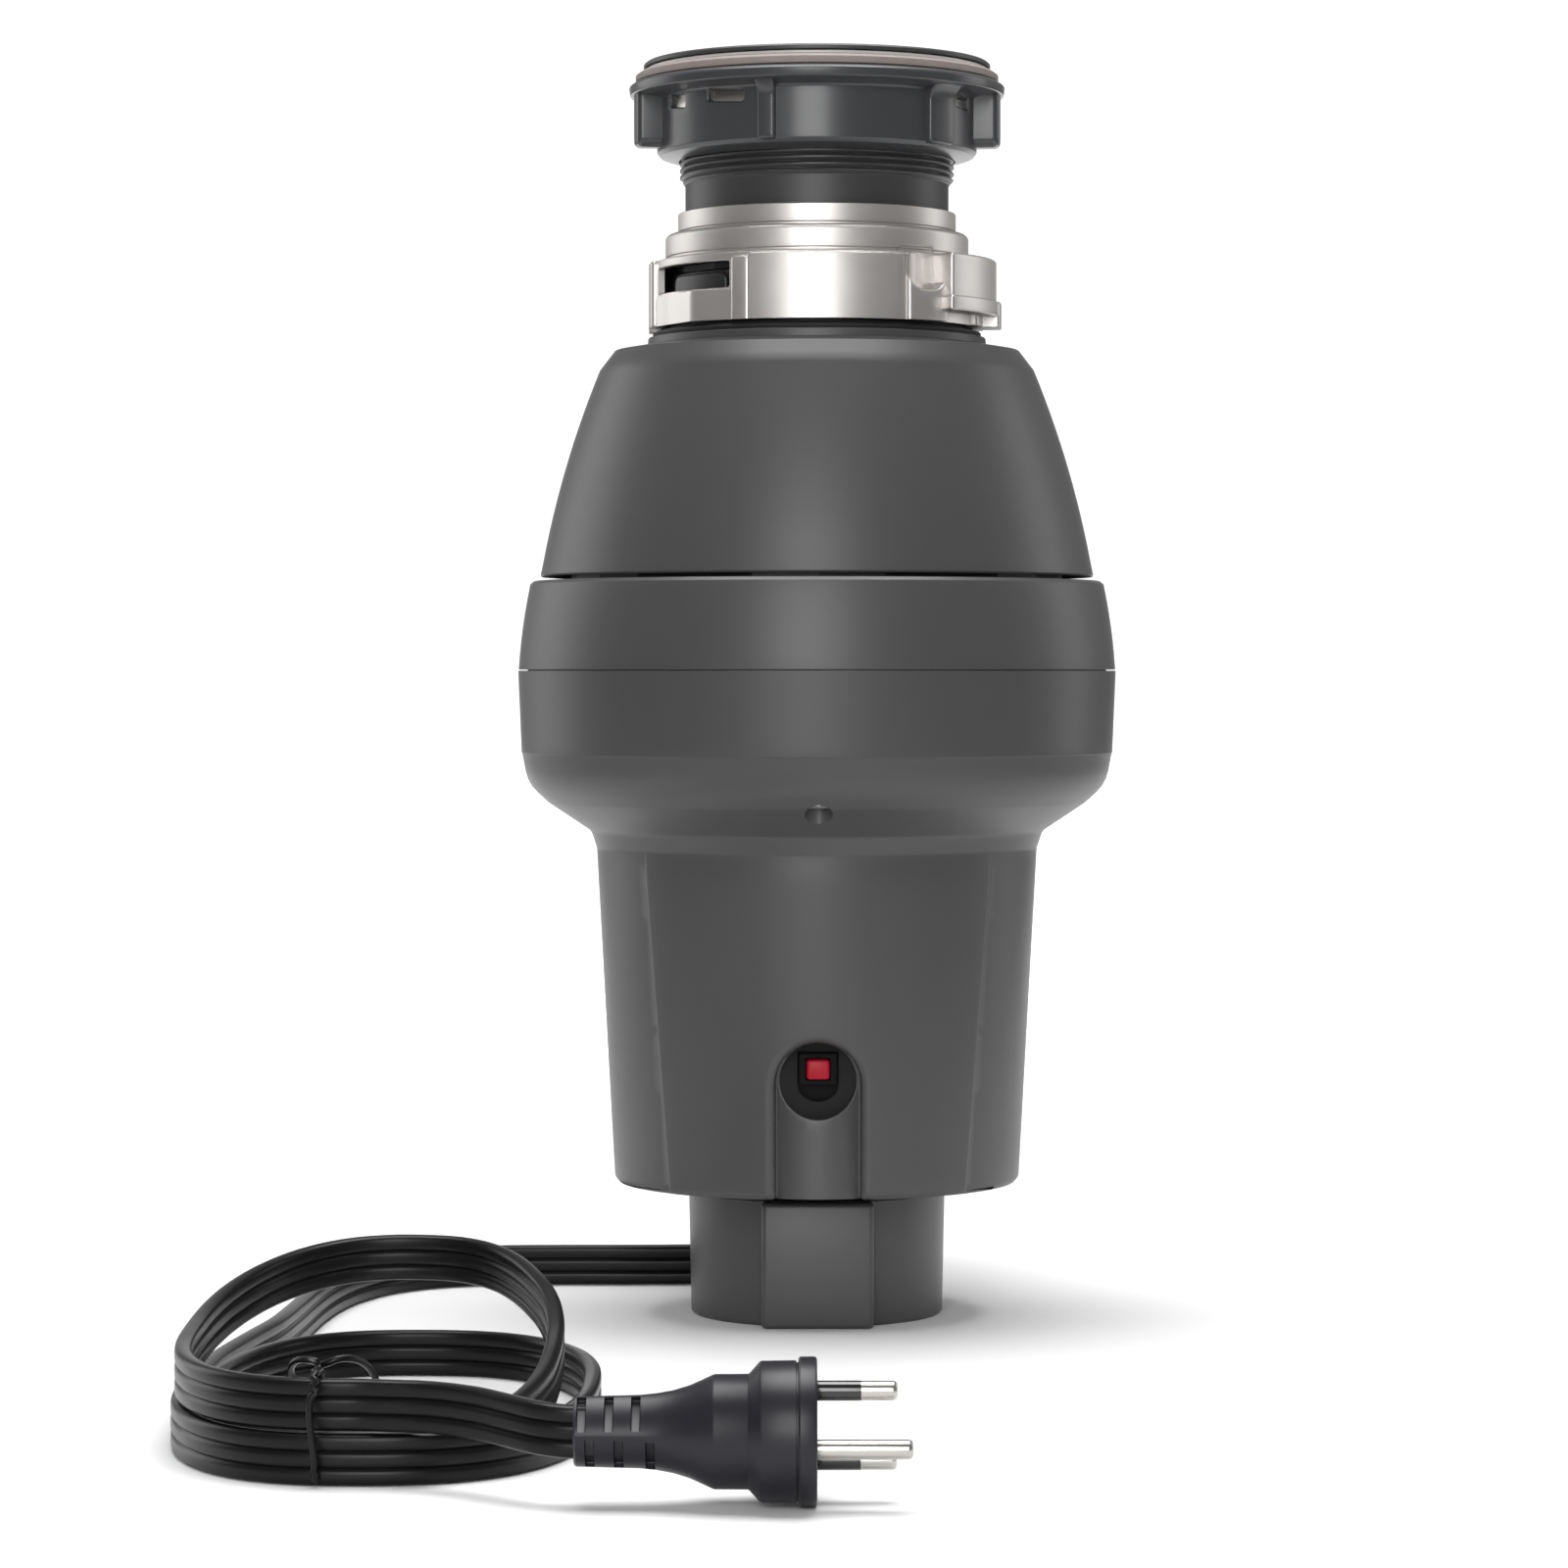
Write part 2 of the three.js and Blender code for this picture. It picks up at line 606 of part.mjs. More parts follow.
// ---------------------------------------------------------------- grinding chamber
const hopperLow = SUMP_Z[1] + GAP;
const spigotHole = inletAxis(CHAMBER_R - 6, CHAMBER_R + 8, INLET_BORE);
add(
  "hopper",
  cut(
    solid(
      turned(
        [
          [SUMP_R + 3, hopperLow],
          [SUMP_R + 3, hopperLow + 4],
          [RING_SEAT_R + 3, hopperLow + 5],
          [RING_SEAT_R + 3, RING_Z[1] + 3.4],
          [CHAMBER_R + CHAMBER_WALL, RING_Z[1] + 8],
          [CHAMBER_R + CHAMBER_WALL, UPPER_Z[1] - 24.8],
          [HOPPER_NECK_R, UPPER_Z[1] - 6.8],
          [HOPPER_NECK_R, UPPER_Z[1]],
          [NECK_BORE, UPPER_Z[1]],
          [NECK_BORE, UPPER_Z[1] - 7.8],
          [CHAMBER_R, UPPER_Z[1] - 26.8],
          [CHAMBER_R, RING_Z[1] + GAP],
          [RING_SEAT_R, RING_Z[1] + GAP],
          [RING_SEAT_R, hopperLow],
        ],
        BODY,
      ),
    ),
    spigotHole,
  ),
  darkPlastic,
);

// Stationary ring with grinding slots cut in its bore.
function grindRing() {
  const ring = tube(RING_BORE, RING_SEAT_R - GAP, ...RING_Z, BODY);
  const slots = [];
  for (let i = 0; i < RING_SLOTS; i++) {
    const slot = box(5.6, 3.4, 18, RING_BORE + 0.4, 0, RING_Z[0] + 8.6);
    slots.push(slot.rotate([0, 0, ((i + 0.5) * 360) / RING_SLOTS]));
  }
  return cut(ring, ...slots);
}
add("grind_ring", grindRing(), steel);

const impellerTurns = [0, 180];
function turntable() {
  const plate = disc(TURNTABLE_R, ...TURNTABLE_Z, BODY);
  const holes = impellerTurns.map((turn) => {
    const [x, y] = around(IMPELLER_PIN_AT, turn);
    return disc(PIN_R + GAP, TURNTABLE_Z[0] - 1, TURNTABLE_Z[1] + 1, SMALL).translate([x, y, 0]);
  });
  const bore = disc(SHAFT_TOP_R + GAP, TURNTABLE_Z[0] - 1, TURNTABLE_Z[1] + 1, FINE);
  return cut(plate, bore, ...holes);
}
add("turntable", turntable(), steel);
const impellerLow = TURNTABLE_Z[1] + RUNNING;
const impellerTop = impellerLow + IMPELLER_H;
impellerTurns.forEach((turn, i) => {
  const half = IMPELLER_W / 2;
  const outline = [
    [-half, -IMPELLER_OUT],
    [half, -IMPELLER_OUT],
    [half, 4],
    [half - 4, IMPELLER_IN],
    [-half + 4, IMPELLER_IN],
    [-half, 4],
  ];
  const low = prism(outline, impellerLow, impellerLow + 3);
  const block = prism(outline.slice(0, 2).concat([[half, -7], [-half, -7]]), impellerLow, impellerTop);
  const hub = disc(6.6, impellerLow, impellerTop - 2, SMALL);
  const bore = disc(PIN_R + RUNNING, impellerLow - 1, impellerTop + 1, SMALL);
  const place = (shape) => shape.translate([0, -IMPELLER_PIN_AT, 0]).rotate([0, 0, turn]);
  add("impeller_" + (i + 1), place(cut(join(low, block, hub), bore)), steel);
  const shank = disc(PIN_R, TURNTABLE_Z[0] - 1.6, impellerTop - 1.4, SMALL);
  const head = disc(6.2, impellerTop - 1.6, impellerTop + 0.6, SMALL);
  add("impeller_pin_" + (i + 1), place(join(shank, head)), darkSteel);
});

const hexagon = (radius) => [0, 60, 120, 180, 240, 300].map((at) => around(radius, at));
add(
  "turntable_nut",
  cut(
    prism(hexagon(9), TURNTABLE_Z[1] + GAP, TURNTABLE_Z[1] + 7),
    disc(SHAFT_TOP_R + GAP, TURNTABLE_Z[1] - 9, TURNTABLE_Z[1] + 21, FINE),
  ),
  darkSteel,
);

// The two holes of the motor's through bolts.
const tieHole = (low, high) =>
  [90, -90].map((at) => disc(BOLT_HOLE_R, low, high, SMALL).translate([...around(TIE_CIRCLE, at), 0]));

// Sump: catches the ground waste under the turntable and leads it to the outlet at the rear.
function sump() {
  const [low, high] = SUMP_Z;
  const floor = low + 4;
  const hubTop = high - 7.8;
  const bearingTop = low + 2.6;
  const shaftHole = SHAFT_R + 1;
  const bowl = solid(
    turned(
      [
        [HUB_R, low - 10],
        [HUB_R, low],
        [SUMP_R - 10, low],
        [SUMP_R - 2, low + 7.6],
        [SUMP_R - 2, high - 4],
        [SUMP_R + 3, high - 4],
        [SUMP_R + 3, high],
        [SUMP_R - 2 - SUMP_WALL, high],
        [SUMP_R - 2 - SUMP_WALL, low + 9.6],
        [SUMP_R - 12, floor],
        [HUB_R - 2, floor],
        [HUB_R - 2, hubTop],
        [shaftHole, hubTop],
        [shaftHole, hubTop - 2.7],
        [SEAL_R + GAP, hubTop - 2.7],
        [SEAL_R + GAP, hubTop - 10],
        [shaftHole, hubTop - 10],
        [shaftHole, bearingTop],
        [BEARING_R + GAP, bearingTop],
        [BEARING_R + GAP, low - 10],
      ],
      BODY,
    ),
  );
  const earY = SUMP_R - 5;
  const spigot = alongY(OUTLET_R, earY - 3, OUTLET_END, 0, OUTLET_Z);
  const bore = alongY(OUTLET_BORE, earY - 5, OUTLET_END + 1, 0, OUTLET_Z);
  const ears = [-1, 1].map((side) => box(12, 11, 12, side * OUTLET_BOLT_X, earY, OUTLET_Z));
  const inside = disc(SUMP_R - 3.6, low + 10.6, high - 0.8, BODY);
  const threads = [-1, 1].map((side) =>
    alongY(BOLT_HOLE_R, earY - 1, earY + 15, side * OUTLET_BOLT_X, OUTLET_Z, SMALL),
  );
  const tieHoles = tieHole(low - 1, low + 3);
  const added = cut(join(spigot, ...ears), inside);
  return cut(join(bowl, added), bore, ...threads, ...tieHoles);
}
add("sump", sump(), darkSteel);
const sealTop = SUMP_Z[1] - 7.8 - 2.7 - GAP;
add("shaft_seal", tube(SHAFT_R + RUNNING, SEAL_R, sealTop - 6.7, sealTop, FINE), rubber);
add("upper_bearing", tube(SHAFT_R + RUNNING, BEARING_R, SUMP_Z[0] - 9.4, SUMP_Z[0] + 2.3, FINE), steel);

// ---------------------------------------------------------------- motor
add(
  "motor_can",
  cut(
    solid(
      turned(
        [
          [CAN_R, CAN_Z[0]],
          [CAN_R, CAN_Z[1]],
          [HUB_R + GAP, CAN_Z[1]],
          [HUB_R + GAP, CAN_Z[1] - CAN_WALL],
          [CAN_R - CAN_WALL, CAN_Z[1] - CAN_WALL],
          [CAN_R - CAN_WALL, CAN_Z[0]],
        ],
        BODY,
      ),
    ),
    ...tieHole(CAN_Z[1] - 10, CAN_Z[1] + 10),
  ),
  darkSteel,
);
[0, 180].forEach((turn, i) => {
  const magnet = sector(
    CORE_R + 2,
    CAN_R - CAN_WALL - 0.7,
    turn - 62,
    turn + 62,
    CORE_Z[0] - 3,
    CORE_Z[1] + 3,
  );
  add("magnet_" + (i + 1), magnet, carbon);
});

const coreMiddle = (CORE_Z[0] + CORE_Z[1]) / 2;
const slotTurns = Array.from({ length: SLOTS }, (_, i) => (360 * i) / SLOTS);
add(
  "armature_core",
  cut(
    disc(CORE_R, ...CORE_Z, SLOTS * 3),
    disc(SHAFT_R + GAP, CORE_Z[0] - 10, CORE_Z[1] + 10, FINE),
    ...slotTurns.map((turn) => box(12, 4, 40, CORE_R - 4, 0, coreMiddle).rotate([0, 0, turn])),
  ),
  darkSteel,
);
const coilBars = slotTurns.map((turn) =>
  box(7.6, 3.2, CORE_Z[1] - CORE_Z[0] + 3, CORE_R - 5.6, 0, coreMiddle).rotate([0, 0, turn]),
);
add(
  "armature_winding",
  join(
    tube(HUB_R + 1, CORE_R - 1.6, CORE_Z[1] + 0.5, CORE_Z[1] + 6, FINE),
    tube(COMMUTATOR_R + 2, CORE_R - 1.6, CORE_Z[0] - 5, CORE_Z[0] - 0.5, FINE),
    ...coilBars,
  ),
  copper,
);
add("commutator", tube(SHAFT_R + GAP, COMMUTATOR_R, CAN_Z[0] - 0.8, CORE_Z[0] - 5.6, FINE), copper);
const shaft = disc(SHAFT_R, BELL_Z - 2, TURNTABLE_Z[0] - GAP, FINE);
const shaftEnd = disc(SHAFT_TOP_R, TURNTABLE_Z[0] - 6.2, TURNTABLE_Z[1] + 6.4, FINE);
add("motor_shaft", join(shaft, shaftEnd), steel);

const BRUSH_W = 8;
const BRUSH_H = 6;
function endBell() {
  const plate = solid(
    turned(
      [
        [LOW_BEARING_R + 2, BELL_Z - 5],
        [LOW_BEARING_R + 2, BELL_Z],
        [CAN_R, BELL_Z],
        [CAN_R, CAN_Z[0] - GAP],
        [CAN_R - 2.4, CAN_Z[0] - GAP],
        [CAN_R - 2.4, BELL_Z + 4],
        [LOW_BEARING_R + GAP, BELL_Z + 4],
        [LOW_BEARING_R + GAP, BELL_Z - 3],
        [SHAFT_R + RUNNING + 0.4, BELL_Z - 3],
        [SHAFT_R + RUNNING + 0.4, BELL_Z - 5],
      ],
      BODY,
    ),
  );
  const holders = [-1, 1].map((side) => box(16, 12, 17.5, side * 23, 0, BELL_Z + 12));
  const channels = [-1, 1].map((side) =>
    box(30, BRUSH_W + 2 * GAP, BRUSH_H + 2 * GAP, side * 24, 0, BRUSH_Z),
  );
  return cut(join(plate, ...holders), ...channels, ...tieHole(BELL_Z - 12, BELL_Z + 18));
}
add("motor_end_bell", endBell(), darkPlastic);
add("lower_bearing", tube(SHAFT_R + RUNNING, LOW_BEARING_R, BELL_Z - 2.7, BELL_Z + 5, FINE), steel);
[-1, 1].forEach((side, i) => {
  const inner = COMMUTATOR_R + RUNNING;
  add("brush_" + (i + 1), box(18, BRUSH_W, BRUSH_H, side * (inner + 9), 0, BRUSH_Z), carbon);
});
[90, -90].forEach((at, i) => {
  const head = disc(4, BELL_Z - 3.4, BELL_Z - GAP, SMALL);
  const bolt = join(head, disc(BOLT_R, BELL_Z - 1, SUMP_Z[0] + 2.6, SMALL));
  add("through_bolt_" + (i + 1), bolt.translate([...around(TIE_CIRCLE, at), 0]), steel);
});
add("rectifier_board", box(58, 34, 1.6, 0, 24, RESET_Z - 15), board);

// ---------------------------------------------------------------- reset breaker
const breakerFront = CHANNEL_FLOOR - WALL - GAP;
const BUTTON_W = 7;
const BUTTON_H = 6;
const PRESS = 2.5;
function breaker() {
  const body = box(18, 20, 20, 0, 10 - breakerFront, RESET_Z - 1);
  const pocket = box(BUTTON_W + 2 * GAP, 12, BUTTON_H + 2 * GAP, 0, 5 - breakerFront, RESET_Z);
  return cut(body, pocket);
}
add("reset_breaker", breaker(), darkPlastic);
const bezelBack = breakerFront + GAP;
const bezel = box(11.7, 3.4, 9.5, 0, -bezelBack - 1.7, RESET_Z);
const bezelHole = box(BUTTON_W + 2 * GAP, 8, BUTTON_H + 2 * GAP, 0, -bezelBack - 1.7, RESET_Z);
add("reset_bezel", cut(bezel, bezelHole), darkPlastic);
const buttonFront = bezelBack + 3.4 + PRESS;
const buttonBack = breakerFront - 7;
const buttonLength = buttonFront - buttonBack;
const buttonAt = -(buttonFront + buttonBack) / 2;
add("reset_button", box(BUTTON_W, buttonLength, BUTTON_H, 0, buttonAt, RESET_Z), redPlastic);

// ---------------------------------------------------------------- discharge
const elbowLip = OUTLET_END + GAP + 3 + GAP;
const sealRing = cut(
  alongY(22, OUTLET_END + GAP, OUTLET_END + GAP + 3, 0, OUTLET_Z),
  alongY(OUTLET_BORE + 0.5, OUTLET_END - 5, OUTLET_END + 9, 0, OUTLET_Z),
);
add("discharge_gasket", sealRing, rubber);

const bend = 27;
function bentPipe(radius) {
  const path = new THREE.CurvePath();
  const y = elbowLip;
  const corner = y + 9;
  path.add(new THREE.LineCurve3(new THREE.Vector3(0, y, OUTLET_Z), new THREE.Vector3(0, corner, OUTLET_Z)));
  path.add(
    new THREE.QuadraticBezierCurve3(
      new THREE.Vector3(0, corner, OUTLET_Z),
      new THREE.Vector3(0, corner + bend, OUTLET_Z),
      new THREE.Vector3(0, corner + bend, OUTLET_Z - bend),
    ),
  );
  path.add(
    new THREE.LineCurve3(
      new THREE.Vector3(0, corner + bend, OUTLET_Z - bend),
      new THREE.Vector3(0, corner + bend, OUTLET_Z - PIPE_FALL),
    ),
  );
  const shape = new THREE.Shape();
  shape.absarc(0, 0, radius, 0, Math.PI * 2);
  const options = { steps: 8, curveSegments: 6, extrudePath: path, bevelEnabled: false };
  return solid(new THREE.ExtrudeGeometry(shape, options));
}
function elbow() {
  const lip = alongY(22, elbowLip, elbowLip + 2.6, 0, OUTLET_Z);
  const outer = join(bentPipe(PIPE_R), lip);
  const inner = bentPipe(PIPE_BORE);
  const end = OUTLET_Z - PIPE_FALL;
  const mouths = [
    alongY(PIPE_BORE, elbowLip - 1, elbowLip + 3, 0, OUTLET_Z),
    disc(PIPE_BORE, end - 2, end + 3).translate([0, elbowLip + 9 + bend, 0]),
  ];
  return cut(outer, inner, ...mouths);
}
add("discharge_elbow", elbow(), darkPlastic);

const plateY = elbowLip + 2.6 + GAP;
function clampPlate() {
  const disk = alongY(24, plateY, plateY + 2, 0, OUTLET_Z);
  const ears = box(2 * OUTLET_BOLT_X + 14, 2, 13, 0, plateY + 1, OUTLET_Z);
  const hole = alongY(PIPE_R + 3 * GAP, plateY - 1, plateY + 3, 0, OUTLET_Z);
  const bolts = [-1, 1].map((side) =>
    alongY(BOLT_HOLE_R, plateY - 1, plateY + 3, side * OUTLET_BOLT_X, OUTLET_Z, SMALL),
  );
  return cut(join(disk, ears), hole, ...bolts);
}
add("discharge_flange", clampPlate(), steel);
[-1, 1].forEach((side, i) => {
  const head = alongY(4.4, plateY + 2 + GAP, plateY + 5.4, side * OUTLET_BOLT_X, OUTLET_Z, SMALL);
  const shank = alongY(BOLT_R, SUMP_R - 5, plateY + 3, side * OUTLET_BOLT_X, OUTLET_Z, SMALL);
  add("discharge_screw_" + (i + 1), join(head, shank), steel);
});

// ---------------------------------------------------------------- dishwasher inlet
const inletFoot = CHAMBER_R + CHAMBER_WALL + GAP;
const spigot = join(inletAxis(inletFoot, INLET_END, INLET_R), inletAxis(inletFoot, inletFoot + 2.4, 15));
add("dishwasher_spigot", cut(spigot, inletAxis(50, 120, INLET_BORE)), darkPlastic);
add("dishwasher_knockout", inletAxis(inletFoot + 2, inletFoot + 4, INLET_BORE - GAP), darkPlastic);

// ---------------------------------------------------------------- cord, coil, tie and plug
// Tapered relief: wide where the base grips it, narrow where the cord leaves.
function strainRelief() {
  const grip = exitBlock(-6, 6, RELIEF_W, RELIEF_H);
  const middle = exitBlock(5, 14, 9, 15.4);
  const tip = exitBlock(13, RELIEF_L, 7.4, 14.4);
  const collar = exitBlock(2.4, 5, 14, 18.6);
  const wall = disc(BASE_TOP_R + GAP, 0, 30, BODY);
  const outside = cut(join(middle, tip, collar), wall);
  return join(grip, outside);
}
add("strain_relief", strainRelief(), rubber);

// Flat section standing on its long edge.
function cordTube(points, steps) {
  const path = new THREE.CatmullRomCurve3(points.map((p) => new THREE.Vector3(...p)));
  const half = [CORD_W / 2, CORD_T / 2];
  const corner = 1.6;
  const shape = new THREE.Shape(
    [
      [half[0] - corner, half[1]],
      [corner - half[0], half[1]],
      [-half[0], half[1] - corner],
      [-half[0], corner - half[1]],
      [corner - half[0], -half[1]],
      [half[0] - corner, -half[1]],
      [half[0], corner - half[1]],
      [half[0], half[1] - corner],
    ].map(([x, y]) => new THREE.Vector2(x, y)),
  );
  return solid(new THREE.ExtrudeGeometry(shape, { steps, extrudePath: path, bevelEnabled: false }));
}

// The oval ring that the coiled turns fill.
const OVAL_SIDES = 32;
function ovalPoints(grow) {
  const points = [];
  for (let i = 0; i < OVAL_SIDES; i++) {
    const at = (2 * Math.PI * i) / OVAL_SIDES;
    const squared = (value) => Math.sign(value) * Math.abs(value) ** 0.8;
    const x = COIL_AT[0] + (COIL_HALF[0] + grow) * squared(Math.cos(at));
    const y = COIL_AT[1] + (COIL_HALF[1] + grow) * squared(Math.sin(at));
    points.push([x, y]);
  }
  return points;
}
const coilHull = prism(ovalPoints(GAP), 0, COIL_Z[1] + GAP);
add("cord_coil", cut(prism(ovalPoints(0), ...COIL_Z), prism(ovalPoints(-COIL_RING), 0, 40)), cordBlack);

const exitTip = [
  cordExit[0] + (RELIEF_L + 2 * GAP) * heading[0],
  cordExit[1] + (RELIEF_L + 2 * GAP) * heading[1],
];
const runRoute = [
  [...exitTip, EXIT_Z],
  [-7.6, 60.6, 9.2],
  [-15, 64.4, 8.2],
  [-26, 66.4, 7],
  [-42, 66.6, 6.7],
  [-62, 65.6, 6.7],
  [-84, 65.4, 6.7],
  [-106, 63.6, 6.7],
  [-124, 56, 6.7],
  [-137, 42, 6.7],
  [-145.5, 22, 6.7],
  [-150.5, 0, 6.7],
  [-153.4, -26, 6.7],
  [-155, -54, 6.7],
  [-156.4, -84, 6.7],
  [-158.4, -114, 6.7],
  [-162.6, -146, 6.7],
  [-169.4, -184, 6.7],
];
add("cord_run", cut(cordTube(runRoute, 28), coilHull), cordBlack);

const leadRoute = [
  [-112, -331.4, 20],
  [-98, -334, 20],
  [-86, -342, 19.8],
  [-77, -351, 19.2],
  [-69, -358, 18.5],
  [PLUG_AT[0] - 4 * GAP, PLUG_AT[1], PLUG_AT[2]],
];
add("cord_lead", cut(cordTube(leadRoute, 10), coilHull), cordBlack);

function tie() {
  const front = COIL_AT[1] - COIL_HALF[1];
  const loop = (grow) => {
    const y0 = front - 1.4 - grow;
    const y1 = front + COIL_RING + 3.4 + grow;
    const z0 = 2 - grow;
    const z1 = COIL_Z[1] + GAP + grow;
    return [
      [y0, z0 + 1],
      [y0 + 1, z0],
      [y1 - 1, z0],
      [y1, z0 + 1],
      [y1, z1 - 1],
      [y1 - 1, z1],
      [y0 + 1, z1],
      [y0, z1 - 1],
    ];
  };
  const slab = (points, width) => {
    const shape = new THREE.Shape(points.map(([y, z]) => new THREE.Vector2(y, z)));
    const geometry = new THREE.ExtrudeGeometry(shape, { depth: width, bevelEnabled: false });
    geometry.rotateX(Math.PI / 2).rotateZ(Math.PI / 2);
    return solid(geometry.translate(TIE_X - width / 2, 0, 0));
  };
  return cut(slab(loop(TIE_WIRE), TIE_WIRE), slab(loop(0), TIE_WIRE + 4));
}
add("twist_tie", tie(), cordBlack);

// Profile along the plug's axis: [distance from its cord end, radius].
const plugProfile = [
  [0, 0],
  [0, 8.6],
  [16, 8.9],
  [26, 10.4],
  [34, 13.8],
  [42, 13.9],
  [45, 17],
  [53.8, 17.1],
  [54.2, 18],
  [PLUG_L, 18],
  [PLUG_L, 0],
];
function alongX(profile, facets) {
  const body = solid(turned(profile.map(([along, r]) => [r, along]), facets, false));
  return body.rotate([0, 90, 0]).translate(PLUG_AT);
}
// A pin's [y, z] from the axis: along the pair's line, and across it towards the earth pin.
function pinPlace(along, across) {
  const roll = radians(PLUG_ROLL);
  const [sine, cosine] = [Math.sin(roll), Math.cos(roll)];
  return [-along * sine - across * cosine, along * cosine - across * sine];
}
const pinPlaces = [
  ["plug_pin_line", ...pinPlace(LINE_PITCH / 2, -PIN_SHIFT), PIN_L],
  ["plug_pin_neutral", ...pinPlace(-LINE_PITCH / 2, -PIN_SHIFT), PIN_L],
  ["plug_pin_earth", ...pinPlace(0, EARTH_OFF - PIN_SHIFT), EARTH_L],
];
const pinRoot = PLUG_L - 6;
function pinShape(radius, extra, length) {
  const [start, end] = [pinRoot - extra, PLUG_L + length];
  return alongX([[start, 0], [start, radius], [end, radius], [end, 0]], SMALL);
}
const pinHoles = pinPlaces.map(([, y, z, length]) =>
  pinShape(PIN_R_PLUG + GAP, GAP, length).translate([0, y, z]),
);
add("plug_body", cut(alongX(plugProfile, BODY), ...pinHoles), plugBlack);
for (const [name, y, z, length] of pinPlaces) {
  add(name, pinShape(PIN_R_PLUG, 0, length).translate([0, y, z]), steel);
}

export default part;
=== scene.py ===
"""Looks of a kitchen garbage disposal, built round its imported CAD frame.

Sizes are millimetres on the frame's axes: +Z up along the motor axis, -Y the front with the reset
button, +X to the right. Angles round the axis are degrees from the front, positive towards +X.
"""

import json
import logging
import math
from collections.abc import Callable, Sequence
from dataclasses import dataclass, field
from enum import Enum

